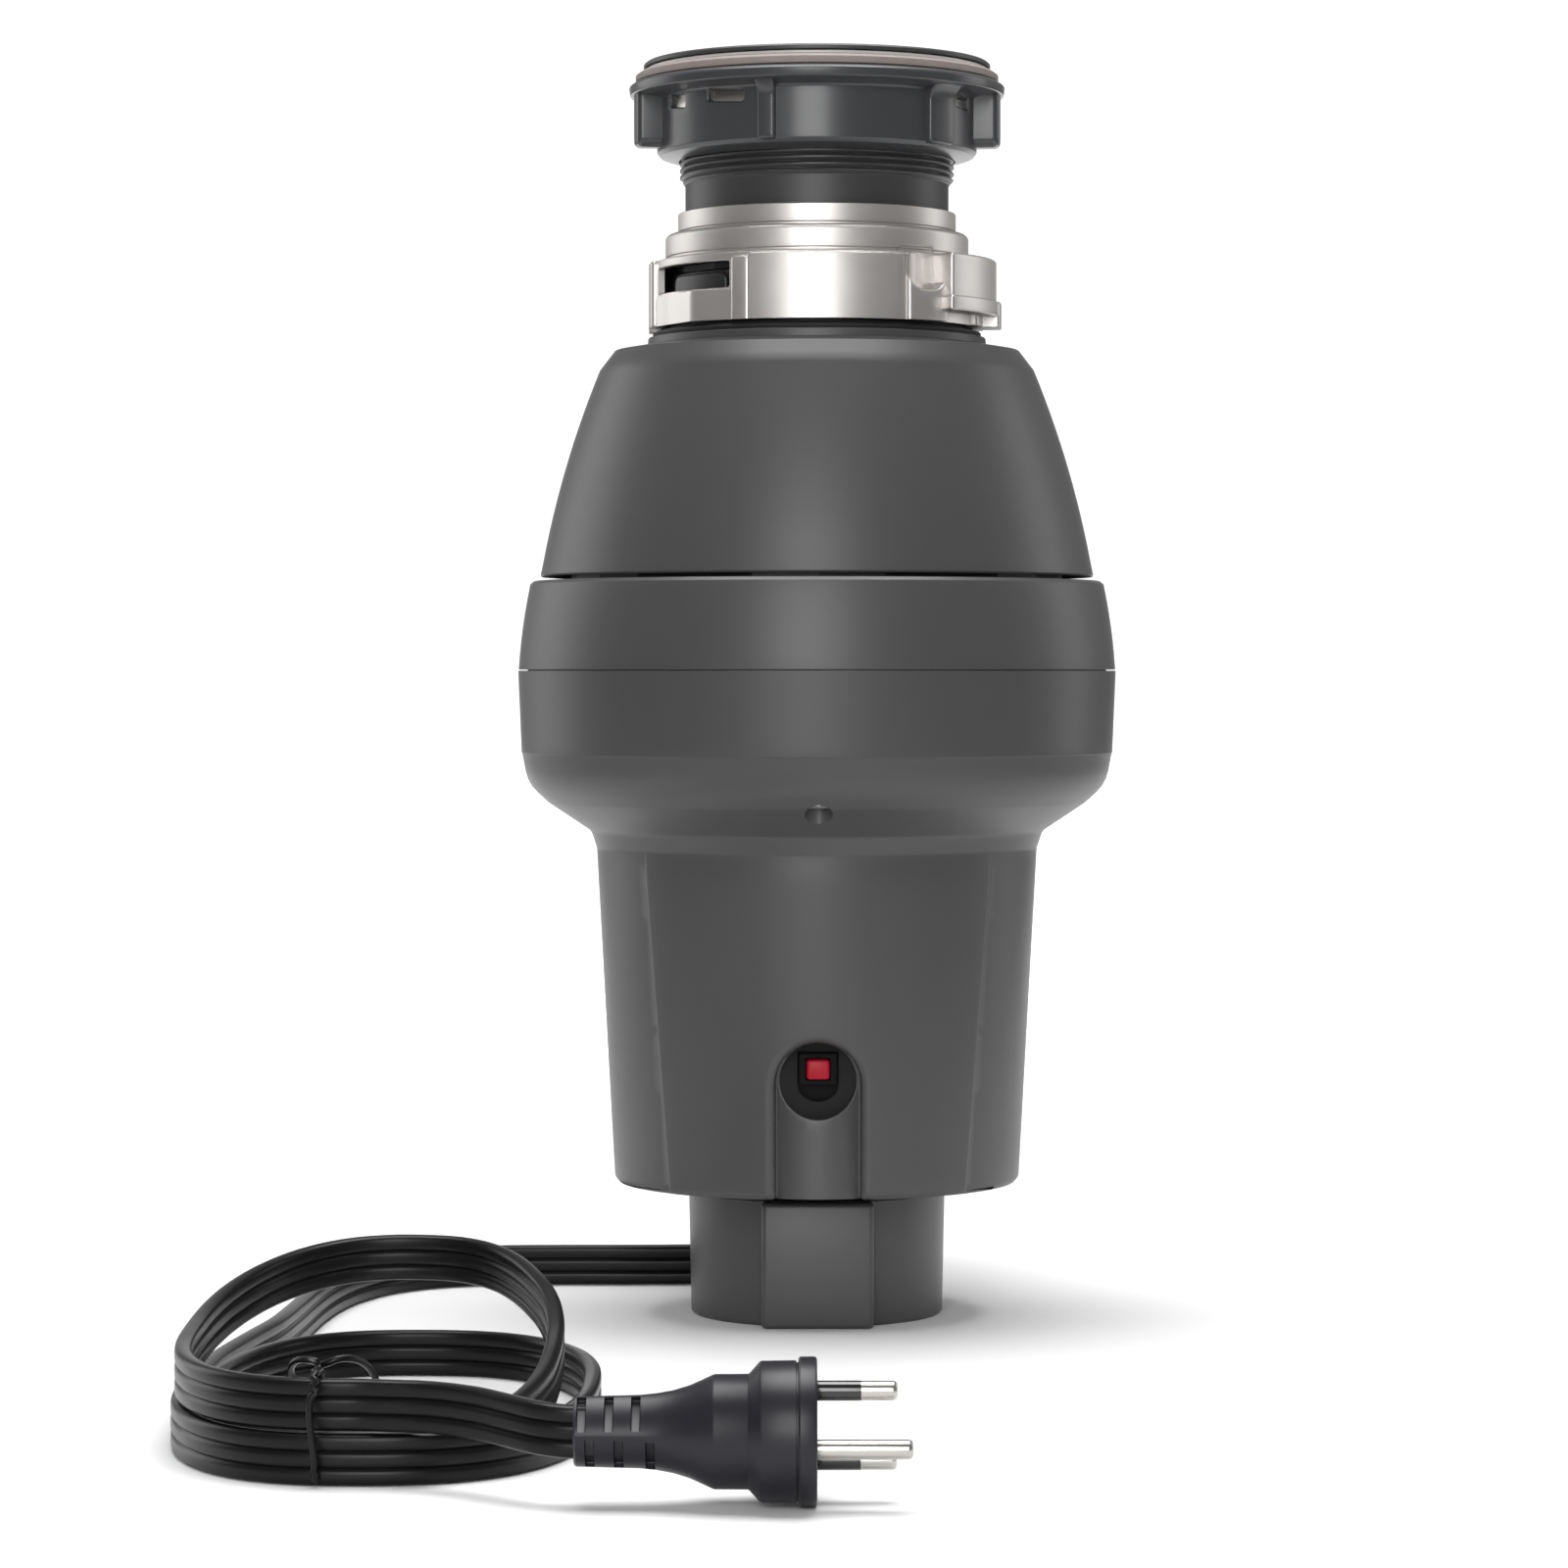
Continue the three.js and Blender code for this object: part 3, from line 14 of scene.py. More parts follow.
import bmesh
import bpy
import numpy as np
from mathutils import Matrix, Vector
from mathutils.geometry import delaunay_2d_cdt
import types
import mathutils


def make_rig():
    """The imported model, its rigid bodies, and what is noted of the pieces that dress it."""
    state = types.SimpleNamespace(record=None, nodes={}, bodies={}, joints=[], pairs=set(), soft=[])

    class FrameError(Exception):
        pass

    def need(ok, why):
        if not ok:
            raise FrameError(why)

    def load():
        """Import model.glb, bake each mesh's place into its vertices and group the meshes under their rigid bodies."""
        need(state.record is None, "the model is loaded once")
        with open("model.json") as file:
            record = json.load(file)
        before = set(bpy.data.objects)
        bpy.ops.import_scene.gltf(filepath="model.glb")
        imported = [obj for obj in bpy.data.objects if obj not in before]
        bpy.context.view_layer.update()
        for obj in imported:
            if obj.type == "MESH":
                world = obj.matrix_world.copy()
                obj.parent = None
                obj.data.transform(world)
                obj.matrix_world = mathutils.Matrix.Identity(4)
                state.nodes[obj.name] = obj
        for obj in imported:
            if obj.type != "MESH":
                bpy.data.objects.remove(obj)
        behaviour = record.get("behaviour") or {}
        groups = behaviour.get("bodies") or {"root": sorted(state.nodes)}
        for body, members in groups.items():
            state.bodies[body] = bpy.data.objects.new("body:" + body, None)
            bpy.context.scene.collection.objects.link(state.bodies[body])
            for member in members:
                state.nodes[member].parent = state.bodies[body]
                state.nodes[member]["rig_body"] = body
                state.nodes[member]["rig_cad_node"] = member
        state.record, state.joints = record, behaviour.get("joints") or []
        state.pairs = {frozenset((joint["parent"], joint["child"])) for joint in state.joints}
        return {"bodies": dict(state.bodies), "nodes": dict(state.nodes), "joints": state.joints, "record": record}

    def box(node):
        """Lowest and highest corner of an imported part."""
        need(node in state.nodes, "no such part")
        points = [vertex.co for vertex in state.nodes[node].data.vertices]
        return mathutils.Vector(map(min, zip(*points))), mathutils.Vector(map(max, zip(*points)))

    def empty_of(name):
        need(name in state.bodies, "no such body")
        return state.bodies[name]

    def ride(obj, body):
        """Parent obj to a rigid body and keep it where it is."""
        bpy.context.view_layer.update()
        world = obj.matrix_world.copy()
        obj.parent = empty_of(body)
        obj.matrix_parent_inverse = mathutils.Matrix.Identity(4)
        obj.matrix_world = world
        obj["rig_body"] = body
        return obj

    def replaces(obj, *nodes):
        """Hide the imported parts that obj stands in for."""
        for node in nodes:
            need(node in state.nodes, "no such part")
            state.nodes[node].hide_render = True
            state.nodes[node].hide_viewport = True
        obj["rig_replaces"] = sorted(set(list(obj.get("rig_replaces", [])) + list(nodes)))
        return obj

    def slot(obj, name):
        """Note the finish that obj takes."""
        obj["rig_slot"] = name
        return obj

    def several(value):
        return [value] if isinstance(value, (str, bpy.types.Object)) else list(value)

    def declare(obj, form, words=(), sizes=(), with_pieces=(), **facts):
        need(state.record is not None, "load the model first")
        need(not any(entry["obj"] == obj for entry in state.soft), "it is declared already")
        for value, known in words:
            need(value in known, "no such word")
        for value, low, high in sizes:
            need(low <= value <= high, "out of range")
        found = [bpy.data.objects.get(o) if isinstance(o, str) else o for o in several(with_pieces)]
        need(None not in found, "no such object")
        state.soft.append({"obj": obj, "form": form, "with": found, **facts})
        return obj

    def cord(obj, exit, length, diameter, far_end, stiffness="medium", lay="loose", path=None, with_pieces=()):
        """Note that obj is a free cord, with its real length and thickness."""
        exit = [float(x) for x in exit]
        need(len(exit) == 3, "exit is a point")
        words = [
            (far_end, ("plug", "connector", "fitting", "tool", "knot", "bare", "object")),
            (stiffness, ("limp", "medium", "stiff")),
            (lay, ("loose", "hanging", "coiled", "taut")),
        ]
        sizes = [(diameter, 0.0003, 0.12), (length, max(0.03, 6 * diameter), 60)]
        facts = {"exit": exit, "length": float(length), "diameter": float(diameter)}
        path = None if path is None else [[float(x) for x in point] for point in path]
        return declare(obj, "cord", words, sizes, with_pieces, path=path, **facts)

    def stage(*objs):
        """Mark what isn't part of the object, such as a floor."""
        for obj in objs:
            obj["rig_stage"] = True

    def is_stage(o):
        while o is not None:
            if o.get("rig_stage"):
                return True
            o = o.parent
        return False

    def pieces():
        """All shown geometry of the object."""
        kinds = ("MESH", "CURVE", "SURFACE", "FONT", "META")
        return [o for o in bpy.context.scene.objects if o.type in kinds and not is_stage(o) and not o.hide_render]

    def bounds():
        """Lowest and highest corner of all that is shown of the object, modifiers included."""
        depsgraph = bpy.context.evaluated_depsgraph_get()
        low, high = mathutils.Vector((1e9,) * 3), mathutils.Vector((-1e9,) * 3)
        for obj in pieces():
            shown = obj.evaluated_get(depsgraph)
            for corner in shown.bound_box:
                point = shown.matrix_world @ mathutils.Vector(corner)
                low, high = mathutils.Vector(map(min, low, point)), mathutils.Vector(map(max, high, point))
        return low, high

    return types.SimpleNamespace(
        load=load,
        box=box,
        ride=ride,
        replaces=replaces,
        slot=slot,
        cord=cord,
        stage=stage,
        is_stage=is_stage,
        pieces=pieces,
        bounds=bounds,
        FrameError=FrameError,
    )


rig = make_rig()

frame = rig.load()

log = logging.getLogger("disposal")
MM = 0.001
SIZE_FILE = "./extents.json"
SMOOTH_DEGREES = 34.0
ROUND_STEPS = 176
SMALL_STEPS = 48

Point2 = tuple[float, float]
Profile = list[Point2]


# ------------------------------------------------------------------ frame helpers
@dataclass(frozen=True)
class Span:
    """A CAD node's box, in millimetres."""

    low: Vector
    high: Vector

    @property
    def middle(self) -> Vector:
        """The box's centre."""
        return (self.low + self.high) / 2

    @property
    def size(self) -> Vector:
        """The box's three sides."""
        return self.high - self.low


def span(node: str) -> Span:
    """Reads a node's box from the frame.

    Args:
        node: the CAD node's name.

    Returns:
        The node's box in millimetres.
    """
    low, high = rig.box(node)
    return Span(low / MM, high / MM)


def radians(degrees: float) -> float:
    """Degrees as radians.

    Args:
        degrees: the angle in degrees.

    Returns:
        The angle in radians.
    """
    return degrees * math.pi / 180


def around(radius: float, degrees: float) -> Point2:
    """The x and y of a point at a radius and an angle from the front.

    Args:
        radius: distance from the axis.
        degrees: angle from the front.

    Returns:
        The point (x, y).
    """
    return radius * math.sin(radians(degrees)), -radius * math.cos(radians(degrees))


# ------------------------------------------------------------------ shader maths
class Sock:
    """A shader socket that Python's operators work on."""

    def __init__(self, board: "Board", socket: bpy.types.NodeSocket) -> None:
        """Keeps the socket and the board it is on."""
        self.board = board
        self.socket = socket

    def _math(self, operation: str, first: object, second: object) -> "Sock":
        """One Math node."""
        return self.board.node("ShaderNodeMath", {"operation": operation}, {0: first, 1: second})

    def __add__(self, other: object) -> "Sock":
        """Sum."""
        return self._math("ADD", self, other)

    def __sub__(self, other: object) -> "Sock":
        """Difference."""
        return self._math("SUBTRACT", self, other)

    def __rsub__(self, other: object) -> "Sock":
        """Reflected difference."""
        return self._math("SUBTRACT", other, self)

    def __mul__(self, other: object) -> "Sock":
        """Product."""
        return self._math("MULTIPLY", self, other)

    __radd__ = __add__
    __rmul__ = __mul__


class Board:
    """The node tree of one material."""

    def __init__(self, owner: bpy.types.ID, output: str = "ShaderNodeOutputMaterial") -> None:
        """Clears the tree of a material or a world and adds the output."""
        owner.use_nodes = True
        self.tree = owner.node_tree
        self.tree.nodes.clear()
        self.output = self.tree.nodes.new(output)

    def node(
        self,
        kind: str,
        settings: dict[str, object] | None = None,
        inputs: dict[str | int, object] | None = None,
        result: str | int = 0,
    ) -> Sock:
        """Adds a node.

        Args:
            kind: the node's type.
            settings: its properties, or a ramp's stops under "stops".
            inputs: values or linked sockets, by name or place.
            result: which output to hand back.

        Returns:
            The chosen output.
        """
        made = self.tree.nodes.new(kind)
        for key, value in (settings or {}).items():
            if key == "stops":
                ramp = made.color_ramp.elements
                while len(ramp) < len(value):
                    ramp.new(0.5)
                for stop, (place, colour) in zip(ramp, value):
                    stop.position = place
                    stop.color = (*colour, 1) if hasattr(colour, "__len__") else (colour,) * 3 + (1,)
            else:
                setattr(made, key, value)
        for key, value in (inputs or {}).items():
            if isinstance(value, Sock):
                self.tree.links.new(value.socket, made.inputs[key])
            else:
                made.inputs[key].default_value = value
        return Sock(self, made.outputs[result])

    def place(self, scale: tuple[float, float, float] = (1, 1, 1)) -> Sock:
        """Object coordinates, scaled."""
        here = self.node("ShaderNodeTexCoord", result="Object")
        return self.node("ShaderNodeMapping", {}, {"Vector": here, "Scale": scale})

    def noise(self, where: Sock, scale: float, detail: float = 3, roughness: float = 0.55) -> Sock:
        """A noise value from 0 to 1."""
        return self.node(
            "ShaderNodeTexNoise",
            {},
            {"Vector": where, "Scale": scale, "Detail": detail, "Roughness": roughness},
            "Fac",
        )

    def blend(self, share: Sock, first: Sequence[float], second: Sequence[float]) -> Sock:
        """A colour between two, by a share."""
        return self.node(
            "ShaderNodeMix",
            {"data_type": "RGBA"},
            {0: share, 6: (*first, 1), 7: (*second, 1)},
            2,
        )

    def finish(self, shader: Sock) -> None:
        """Joins a shader to the output."""
        self.tree.links.new(shader.socket, self.output.inputs["Surface"])


Colour = tuple[float, float, float]


class Texture(Enum):
    """How a surface's fine relief runs."""

    MOULDED = "spark-eroded mould grain"
    CAST = "die casting under plating"
    TURNED = "turned on a lathe"
    PRESSED = "pressed fibre"
    VINYL = "extruded vinyl"
    WOUND = "varnished winding wire"


@dataclass(frozen=True)
class Finish:
    """One finish of the object, with its procedural material."""

    name: str
    slot: str
    colour: Colour
    roughness: float
    texture: Texture = Texture.MOULDED
    metallic: float = 0.0
    coat: float = 0.0
    tint: float = 0.08
    grain: float = 0.05
    specular: float = 0.5

    def _relief(self, board: Board) -> tuple[Sock, Sock, float]:
        """The fine height, the broad variation, and the height's distance in metres."""
        if self.texture is Texture.TURNED:
            lines = board.noise(board.place((60, 60, 2600)), 1.0, 4, 0.6)
            return lines, board.noise(board.place(), 45, 2), 0.00006
        if self.texture is Texture.CAST:
            pits = board.noise(board.place(), 900, 3, 0.6)
            waves = board.noise(board.place(), 70, 2)
            return pits * 0.35 + waves * 0.65, waves, 0.00012
        if self.texture is Texture.PRESSED:
            fibres = board.noise(board.place((1, 1, 3.5)), 620, 6, 0.72)
            return fibres, board.noise(board.place(), 130, 4, 0.7), 0.0002
        if self.texture is Texture.VINYL:
            drag = board.noise(board.place((1, 1, 1)), 260, 3)
            return drag, board.noise(board.place(), 30, 2), 0.00012
        if self.texture is Texture.WOUND:
            wire = board.node(
                "ShaderNodeTexWave",
                {"wave_type": "RINGS", "rings_direction": "Z"},
                {"Vector": board.place(), "Scale": 520.0, "Distortion": 1.2, "Detail": 2.0},
                "Fac",
            )
            return wire, board.noise(board.place(), 120, 3), 0.0004
        grain = board.noise(board.place(), 2300, 2, 0.5)
        return grain, board.noise(board.place(), 16, 3), 0.00005

    def material(self) -> bpy.types.Material:
        """Builds the material, once.

        Returns:
            The material with this finish's name.
        """
        if self.name in bpy.data.materials:
            return bpy.data.materials[self.name]
        made = bpy.data.materials.new(self.name)
        board = Board(made)
        fine, broad, depth = self._relief(board)
        dark = tuple(c * (1 - self.tint) for c in self.colour)
        light = tuple(min(1.0, c * (1 + self.tint)) for c in self.colour)
        shade = board.blend(broad, dark, light)
        rough = (broad - 0.5) * (self.roughness * 0.22) + (fine - 0.5) * self.grain + self.roughness
        bump = board.node(
            "ShaderNodeBump",
            {},
            {"Strength": min(1.0, self.grain * 6), "Distance": depth, "Height": fine},
        )
        shader = board.node(
            "ShaderNodeBsdfPrincipled",
            {},
            {
                "Base Color": shade,
                "Roughness": rough,
                "Metallic": self.metallic,
                "Specular IOR Level": self.specular,
                "Coat Weight": self.coat,
                "Coat Roughness": 0.12,
                "Normal": bump,
            },
        )
        board.finish(shader)
        made.diffuse_color = (*self.colour, 1)
        return made


HOUSING = Finish("housing_grey_moulding", "housing_grey", (0.054, 0.054, 0.054), 0.4, tint=0.03, grain=0.03)
BLACK_MOULDING = Finish("black_moulding", "dark_plastic", (0.016, 0.016, 0.017), 0.4, grain=0.03)
# Painted shade: the housing's grey made darker and duller for the sunk disc round the reset button, where shade falls.
RECESS_PAINTED_SHADE = Finish(
    "recess_moulding", "housing_grey", (0.022, 0.022, 0.022), 0.85, grain=0.02, specular=0.12
)
BEZEL_BLACK = Finish("bezel_moulding", "dark_plastic", (0.004, 0.004, 0.004), 0.75, grain=0.02, specular=0.15)
TUBE_MOULDING = Finish("sink_tube_moulding", "dark_plastic", (0.036, 0.036, 0.036), 0.42, grain=0.03)
NUT_MOULDING = Finish(
    "glossy_nut_moulding", "nut_grey", (0.045, 0.046, 0.049), 0.3, tint=0.03, grain=0.02, coat=0.08
)
NICKEL = Finish(
    "satin_nickel_casting", "die_cast", (0.63, 0.605, 0.585), 0.42, Texture.CAST, 1.0, tint=0.025, grain=0.03
)
STEEL = Finish("turned_steel", "steel", (0.56, 0.56, 0.57), 0.27, Texture.TURNED, 1.0, grain=0.07)
BRIGHT_PIN = Finish("nickel_pin", "steel", (0.5, 0.485, 0.45), 0.24, Texture.TURNED, 1.0, grain=0.03)
SCREW_STEEL = Finish("dull_screw_steel", "steel", (0.16, 0.16, 0.165), 0.42, Texture.TURNED, 1.0, grain=0.06)
OILED = Finish("oiled_iron", "dark_steel", (0.13, 0.13, 0.135), 0.38, Texture.CAST, 0.9, grain=0.06)
RUBBER = Finish("matt_rubber", "rubber", (0.014, 0.014, 0.015), 0.62, grain=0.05)
SEAL = Finish("pale_seal", "rubber", (0.62, 0.61, 0.6), 0.35, grain=0.03)
FIBRE = Finish("pressed_fibre", "fibre", (0.27, 0.225, 0.205), 0.6, Texture.PRESSED, tint=0.12, grain=0.12)
RED = Finish("red_button_moulding", "button_red", (0.36, 0.002, 0.014), 0.4, grain=0.02, specular=0.25)
COPPER = Finish("winding_copper", "copper", (0.50, 0.19, 0.08), 0.34, Texture.WOUND, 0.9, coat=0.5)
BOARD_GREEN = Finish("printed_board", "board", (0.02, 0.085, 0.04), 0.45, Texture.PRESSED, grain=0.04)
CARBON = Finish("pressed_carbon", "carbon", (0.02, 0.02, 0.022), 0.55, Texture.PRESSED, grain=0.06)
CORD_VINYL = Finish(
    "cord_vinyl", "cord_black", (0.004, 0.0037, 0.0037), 0.33, Texture.VINYL, grain=0.04, specular=0.22
)
PLUG_VINYL = Finish("plug_vinyl", "plug_black", (0.009, 0.0088, 0.0135), 0.38, grain=0.04, specular=0.36)
PIN_SLEEVE = Finish("pin_sleeve", "plug_black", (0.006, 0.006, 0.006), 0.12, grain=0.01, coat=0.5)


# ------------------------------------------------------------------ mesh tools
def make_mesh(
    name: str, points: np.ndarray, faces: Sequence[Sequence[int]], finish: Finish
) -> bpy.types.Object:
    """Makes an object from points in millimetres.

    Args:
        name: the piece's name.
        points: its vertices, N by 3.
        faces: its faces, as vertex numbers.
        finish: the finish to dress it in.

    Returns:
        The object, at the origin, with faces pointing out.
    """
    mesh = bpy.data.meshes.new(name)
    mesh.from_pydata([tuple(p) for p in np.asarray(points, float) * MM], [], [tuple(f) for f in faces])
    made = bpy.data.objects.new(name, mesh)
    bpy.context.scene.collection.objects.link(made)
    tidy(made, finish)
    return made


def tidy(piece: bpy.types.Object, finish: Finish, merge: float = 2e-6) -> None:
    """Merges doubles, turns faces outwards, smooths and dresses a piece.

    Args:
        piece: the piece.
        finish: its only finish.
        merge: how near points are one point, in metres.
    """
    mesh = piece.data
    work = bmesh.new()
    work.from_mesh(mesh)
    bmesh.ops.remove_doubles(work, verts=work.verts, dist=merge)
    bmesh.ops.dissolve_degenerate(work, dist=1e-7, edges=work.edges)
    bmesh.ops.recalc_face_normals(work, faces=work.faces)
    work.to_mesh(mesh)
    work.free()
    mesh.polygons.foreach_set("use_smooth", [True] * len(mesh.polygons))
    mesh.set_sharp_from_angle(angle=radians(SMOOTH_DEGREES))
    mesh.materials.clear()
    mesh.materials.append(finish.material())


def rounded(points: Sequence[Sequence[float]], closed: bool = True) -> Profile:
    """Turns corners into arcs.

    Args:
        points: (r, z) or (r, z, fillet radius) corners in order.
        closed: whether the last corner joins the first.

    Returns:
        The outline with each filleted corner as a short arc.
    """
    out: Profile = []
    count = len(points)
    for i, corner in enumerate(points):
        here = Vector(corner[:2])
        fillet = corner[2] if len(corner) > 2 else 0.0
        if fillet <= 0 or (not closed and i in (0, count - 1)):
            out.append((here.x, here.y))
            continue
        before = (Vector(points[i - 1][:2]) - here)
        after = (Vector(points[(i + 1) % count][:2]) - here)
        angle = before.angle(after)
        if angle > math.pi - 0.02:
            out.append((here.x, here.y))
            continue
        reach = min(fillet / math.tan(angle / 2), before.length * 0.49, after.length * 0.49)
        radius = reach * math.tan(angle / 2)
        start = here + before.normalized() * reach
        end = here + after.normalized() * reach
        way = (before.normalized() + after.normalized()).normalized()
        middle = here + way * (radius / math.sin(angle / 2))
        turn = math.pi - angle
        steps = max(2, int(math.ceil(turn / radians(13))))
        from_angle = math.atan2(start.y - middle.y, start.x - middle.x)
        to_angle = math.atan2(end.y - middle.y, end.x - middle.x)
        swing = (to_angle - from_angle + math.pi) % (2 * math.pi) - math.pi
        for k in range(steps + 1):
            at = from_angle + swing * k / steps
            out.append((middle.x + radius * math.cos(at), middle.y + radius * math.sin(at)))
    return out


def bulge(start: Point2, end: Point2, height: float, steps: int) -> Profile:
    """Points between two ends on a shallow curve that bulges outwards.

    Args:
        start: the first point.
        end: the last point.
        height: how far the middle stands off the chord.
        steps: how many pieces.

    Returns:
        The points, both ends included.
    """
    (r0, z0), (r1, z1) = start, end
    length = math.hypot(r1 - r0, z1 - z0)
    out: Profile = []
    for i in range(steps + 1):
        t = i / steps
        off = 4 * height * t * (1 - t) / length
        out.append((r0 + (r1 - r0) * t + (z1 - z0) * off, z0 + (z1 - z0) * t - (r1 - r0) * off))
    return out


class Axis(Enum):
    """Which way a turned piece's own axis lies."""

    Z = "up"
    Y = "back"
    X = "right"


def place_of(axis: Axis, at: Sequence[float]) -> Matrix:
    """The matrix from a turned piece's own frame to the object's.

    Args:
        axis: the axis it is turned about.
        at: where its origin goes.

    Returns:
        The matrix.
    """
    turn = {
        Axis.Z: Matrix.Identity(4),
        Axis.Y: Matrix.Rotation(-math.pi / 2, 4, "X"),
        Axis.X: Matrix.Rotation(math.pi / 2, 4, "Y"),
    }[axis]
    return Matrix.Translation(Vector(at)) @ turn


def turned_points(profile: Profile, steps: int, closed: bool) -> tuple[np.ndarray, list[list[int]]]:
    """The points and faces of a profile turned about its axis; radius 0 makes a pole.

    Args:
        profile: (radius, height) points.
        steps: points in a full turn.
        closed: whether the profile is a loop.

    Returns:
        The points and the faces.
    """
    rows = len(profile)
    at = np.linspace(0, 2 * math.pi, steps, endpoint=False)
    points: list[tuple[float, float, float]] = []
    starts: list[int | None] = []
    for radius, z in profile:
        if abs(radius) < 1e-6:
            starts.append(None)
            points.append((0.0, 0.0, z))
        else:
            starts.append(len(points))
            points.extend((radius * math.sin(a), -radius * math.cos(a), z) for a in at)
    index: list[list[int]] = []
    cursor = 0
    for start in starts:
        if start is None:
            index.append([cursor] * steps)
            cursor += 1
        else:
            index.append(list(range(cursor, cursor + steps)))
            cursor += steps
    faces: list[list[int]] = []
    for i in range(rows if closed else rows - 1):
        a, b = index[i], index[(i + 1) % rows]
        for j in range(steps):
            k = (j + 1) % steps
            ring = [a[j], a[k], b[k], b[j]]
            face = list(dict.fromkeys(ring))
            if len(face) > 2:
                faces.append(face)
    return np.array(points), faces


def turned(
    name: str,
    profile: Sequence[Sequence[float]],
    finish: Finish,
    axis: Axis = Axis.Z,
    at: Sequence[float] = (0, 0, 0),
    steps: int = ROUND_STEPS,
    closed: bool = True,
) -> bpy.types.Object:
    """A solid of revolution.

    Args:
        name: the piece's name.
        profile: (r, z) or (r, z, fillet) corners, up the outside and down the inside.
        finish: its finish.
        axis: which way its axis lies.
        at: the axis's origin.
        steps: points round it.
        closed: True for a ring, False for a profile that starts and ends on the axis.

    Returns:
        The finished object.
    """
    points, faces = turned_points(rounded(profile, closed), steps, closed)
    place = place_of(axis, at)
    moved = np.array([(place @ Vector(p))[:] for p in points])
    return make_mesh(name, moved, faces, finish)


def prism(
    name: str,
    outline: Sequence[Point2],
    low: float,
    high: float,
    finish: Finish,
    place: Matrix | None = None,
    bevel: float = 0.0,
    segments: int = 3,
) -> bpy.types.Object:
    """An outline raised along its own Z, with bevelled edges.

    Args:
        name: the piece's name.
        outline: its corners.
        low: where it starts.
        high: where it ends.
        finish: its finish.
        place: from its own frame to the object's.
        bevel: the edges' rounding.
        segments: steps of the rounding.

    Returns:
        The finished object.
    """
    count = len(outline)
    points = [(x, y, low) for x, y in outline] + [(x, y, high) for x, y in outline]
    faces = [list(range(count))[::-1], list(range(count, 2 * count))]
    faces += [[i, (i + 1) % count, (i + 1) % count + count, i + count] for i in range(count)]
    mesh = bpy.data.meshes.new(name)
    mesh.from_pydata(points, [], faces)
    work = bmesh.new()
    work.from_mesh(mesh)
    bmesh.ops.recalc_face_normals(work, faces=work.faces)
    if bevel > 0:
        sharp = [e for e in work.edges if e.calc_face_angle(0) > radians(28)]
        bmesh.ops.bevel(
            work, geom=sharp, offset=bevel, segments=segments, profile=0.5, affect="EDGES", clamp_overlap=True
        )
    work.transform(Matrix.Scale(MM, 4) @ (place or Matrix.Identity(4)))
    work.to_mesh(mesh)
    work.free()
    made = bpy.data.objects.new(name, mesh)
    bpy.context.scene.collection.objects.link(made)
    tidy(made, finish)
    return made


def block(
    name: str, centre: Sequence[float], size: Sequence[float], finish: Finish, bevel: float = 0.4
) -> bpy.types.Object:
    """A box with rounded edges, by its centre and its sides.

    Args:
        name: the object's name.
        centre: its middle.
        size: its three sides.
        finish: its finish.
        bevel: its edges' radius.

    Returns:
        The box.
    """
    x, y, z = (s / 2 for s in size)
    place = Matrix.Translation(Vector(centre))
    return prism(name, [(-x, -y), (x, -y), (x, y), (-x, y)], -z, z, finish, place, bevel)


def circle(radius: float, steps: int = SMALL_STEPS) -> Profile:
    """A round outline.

    Args:
        radius: its radius.
        steps: how many points.

    Returns:
        The outline.
    """
    return [
        (radius * math.cos(2 * math.pi * i / steps), radius * math.sin(2 * math.pi * i / steps))
        for i in range(steps)
    ]


def round_hole(x: float, z: float, radius: float) -> tuple[Point2, ...]:
    """A round outline about a point, as a relief takes it.

    Args:
        x: its middle across.
        z: its middle in height.
        radius: its radius.

    Returns:
        The outline.
    """
    angles = np.linspace(0, 2 * math.pi, 56, endpoint=False)
    return tuple((x + radius * math.cos(a), z + radius * math.sin(a)) for a in angles)


def ring_faces(count: int, steps: int) -> list[list[int]]:
    """The quads of a closed skin of `count` rings, each of `steps` points.

    Args:
        count: how many rings.
        steps: points in each ring.

    Returns:
        The quads.
    """
    return [
        [i * steps + j, i * steps + (j + 1) % steps, (i + 1) % count * steps + (j + 1) % steps,
         (i + 1) % count * steps + j]
        for i in range(count)
        for j in range(steps)
    ]


def placed(place: Matrix, points: Sequence[Sequence[float]]) -> np.ndarray:
    """Points moved by a matrix.

    Args:
        place: the matrix.
        points: the points.

    Returns:
        The moved points.
    """
    return np.array([(place @ Vector(p))[:] for p in points])


def rod(
    name: str, start: Sequence[float], end: Sequence[float], radius: float, finish: Finish, bevel: float = 0.3
) -> bpy.types.Object:
    """A round bar between two points.

    Args:
        name: the object's name.
        start: one end.
        end: the other end.
        radius: its radius.
        finish: its finish.
        bevel: its ends' edge radius.

    Returns:
        The bar.
    """
    way = Vector(end) - Vector(start)
    turn = Vector((0, 0, 1)).rotation_difference(way).to_matrix().to_4x4()
    profile = [(0, 0), (radius, 0, bevel), (radius, way.length, bevel), (0, way.length)]
    points, faces = turned_points(rounded(profile, False), SMALL_STEPS, False)
    place = Matrix.Translation(Vector(start)) @ turn
    return make_mesh(name, placed(place, points), faces, finish)


def carve(
    piece: bpy.types.Object, cutters: Sequence[bpy.types.Object], finish: Finish, how: str = "DIFFERENCE"
) -> None:
    """Cuts or joins solids exactly, then removes them.

    Args:
        piece: the piece that changes.
        cutters: the solids taken from it or added to it.
        finish: the finish it keeps.
        how: DIFFERENCE, UNION or INTERSECT.
    """
    for cutter in cutters:
        modifier = piece.modifiers.new("carve", "BOOLEAN")
        modifier.operation = how
        modifier.solver = "EXACT"
        modifier.object = cutter
        bake(piece)
        bpy.data.objects.remove(cutter)
    tidy(piece, finish)


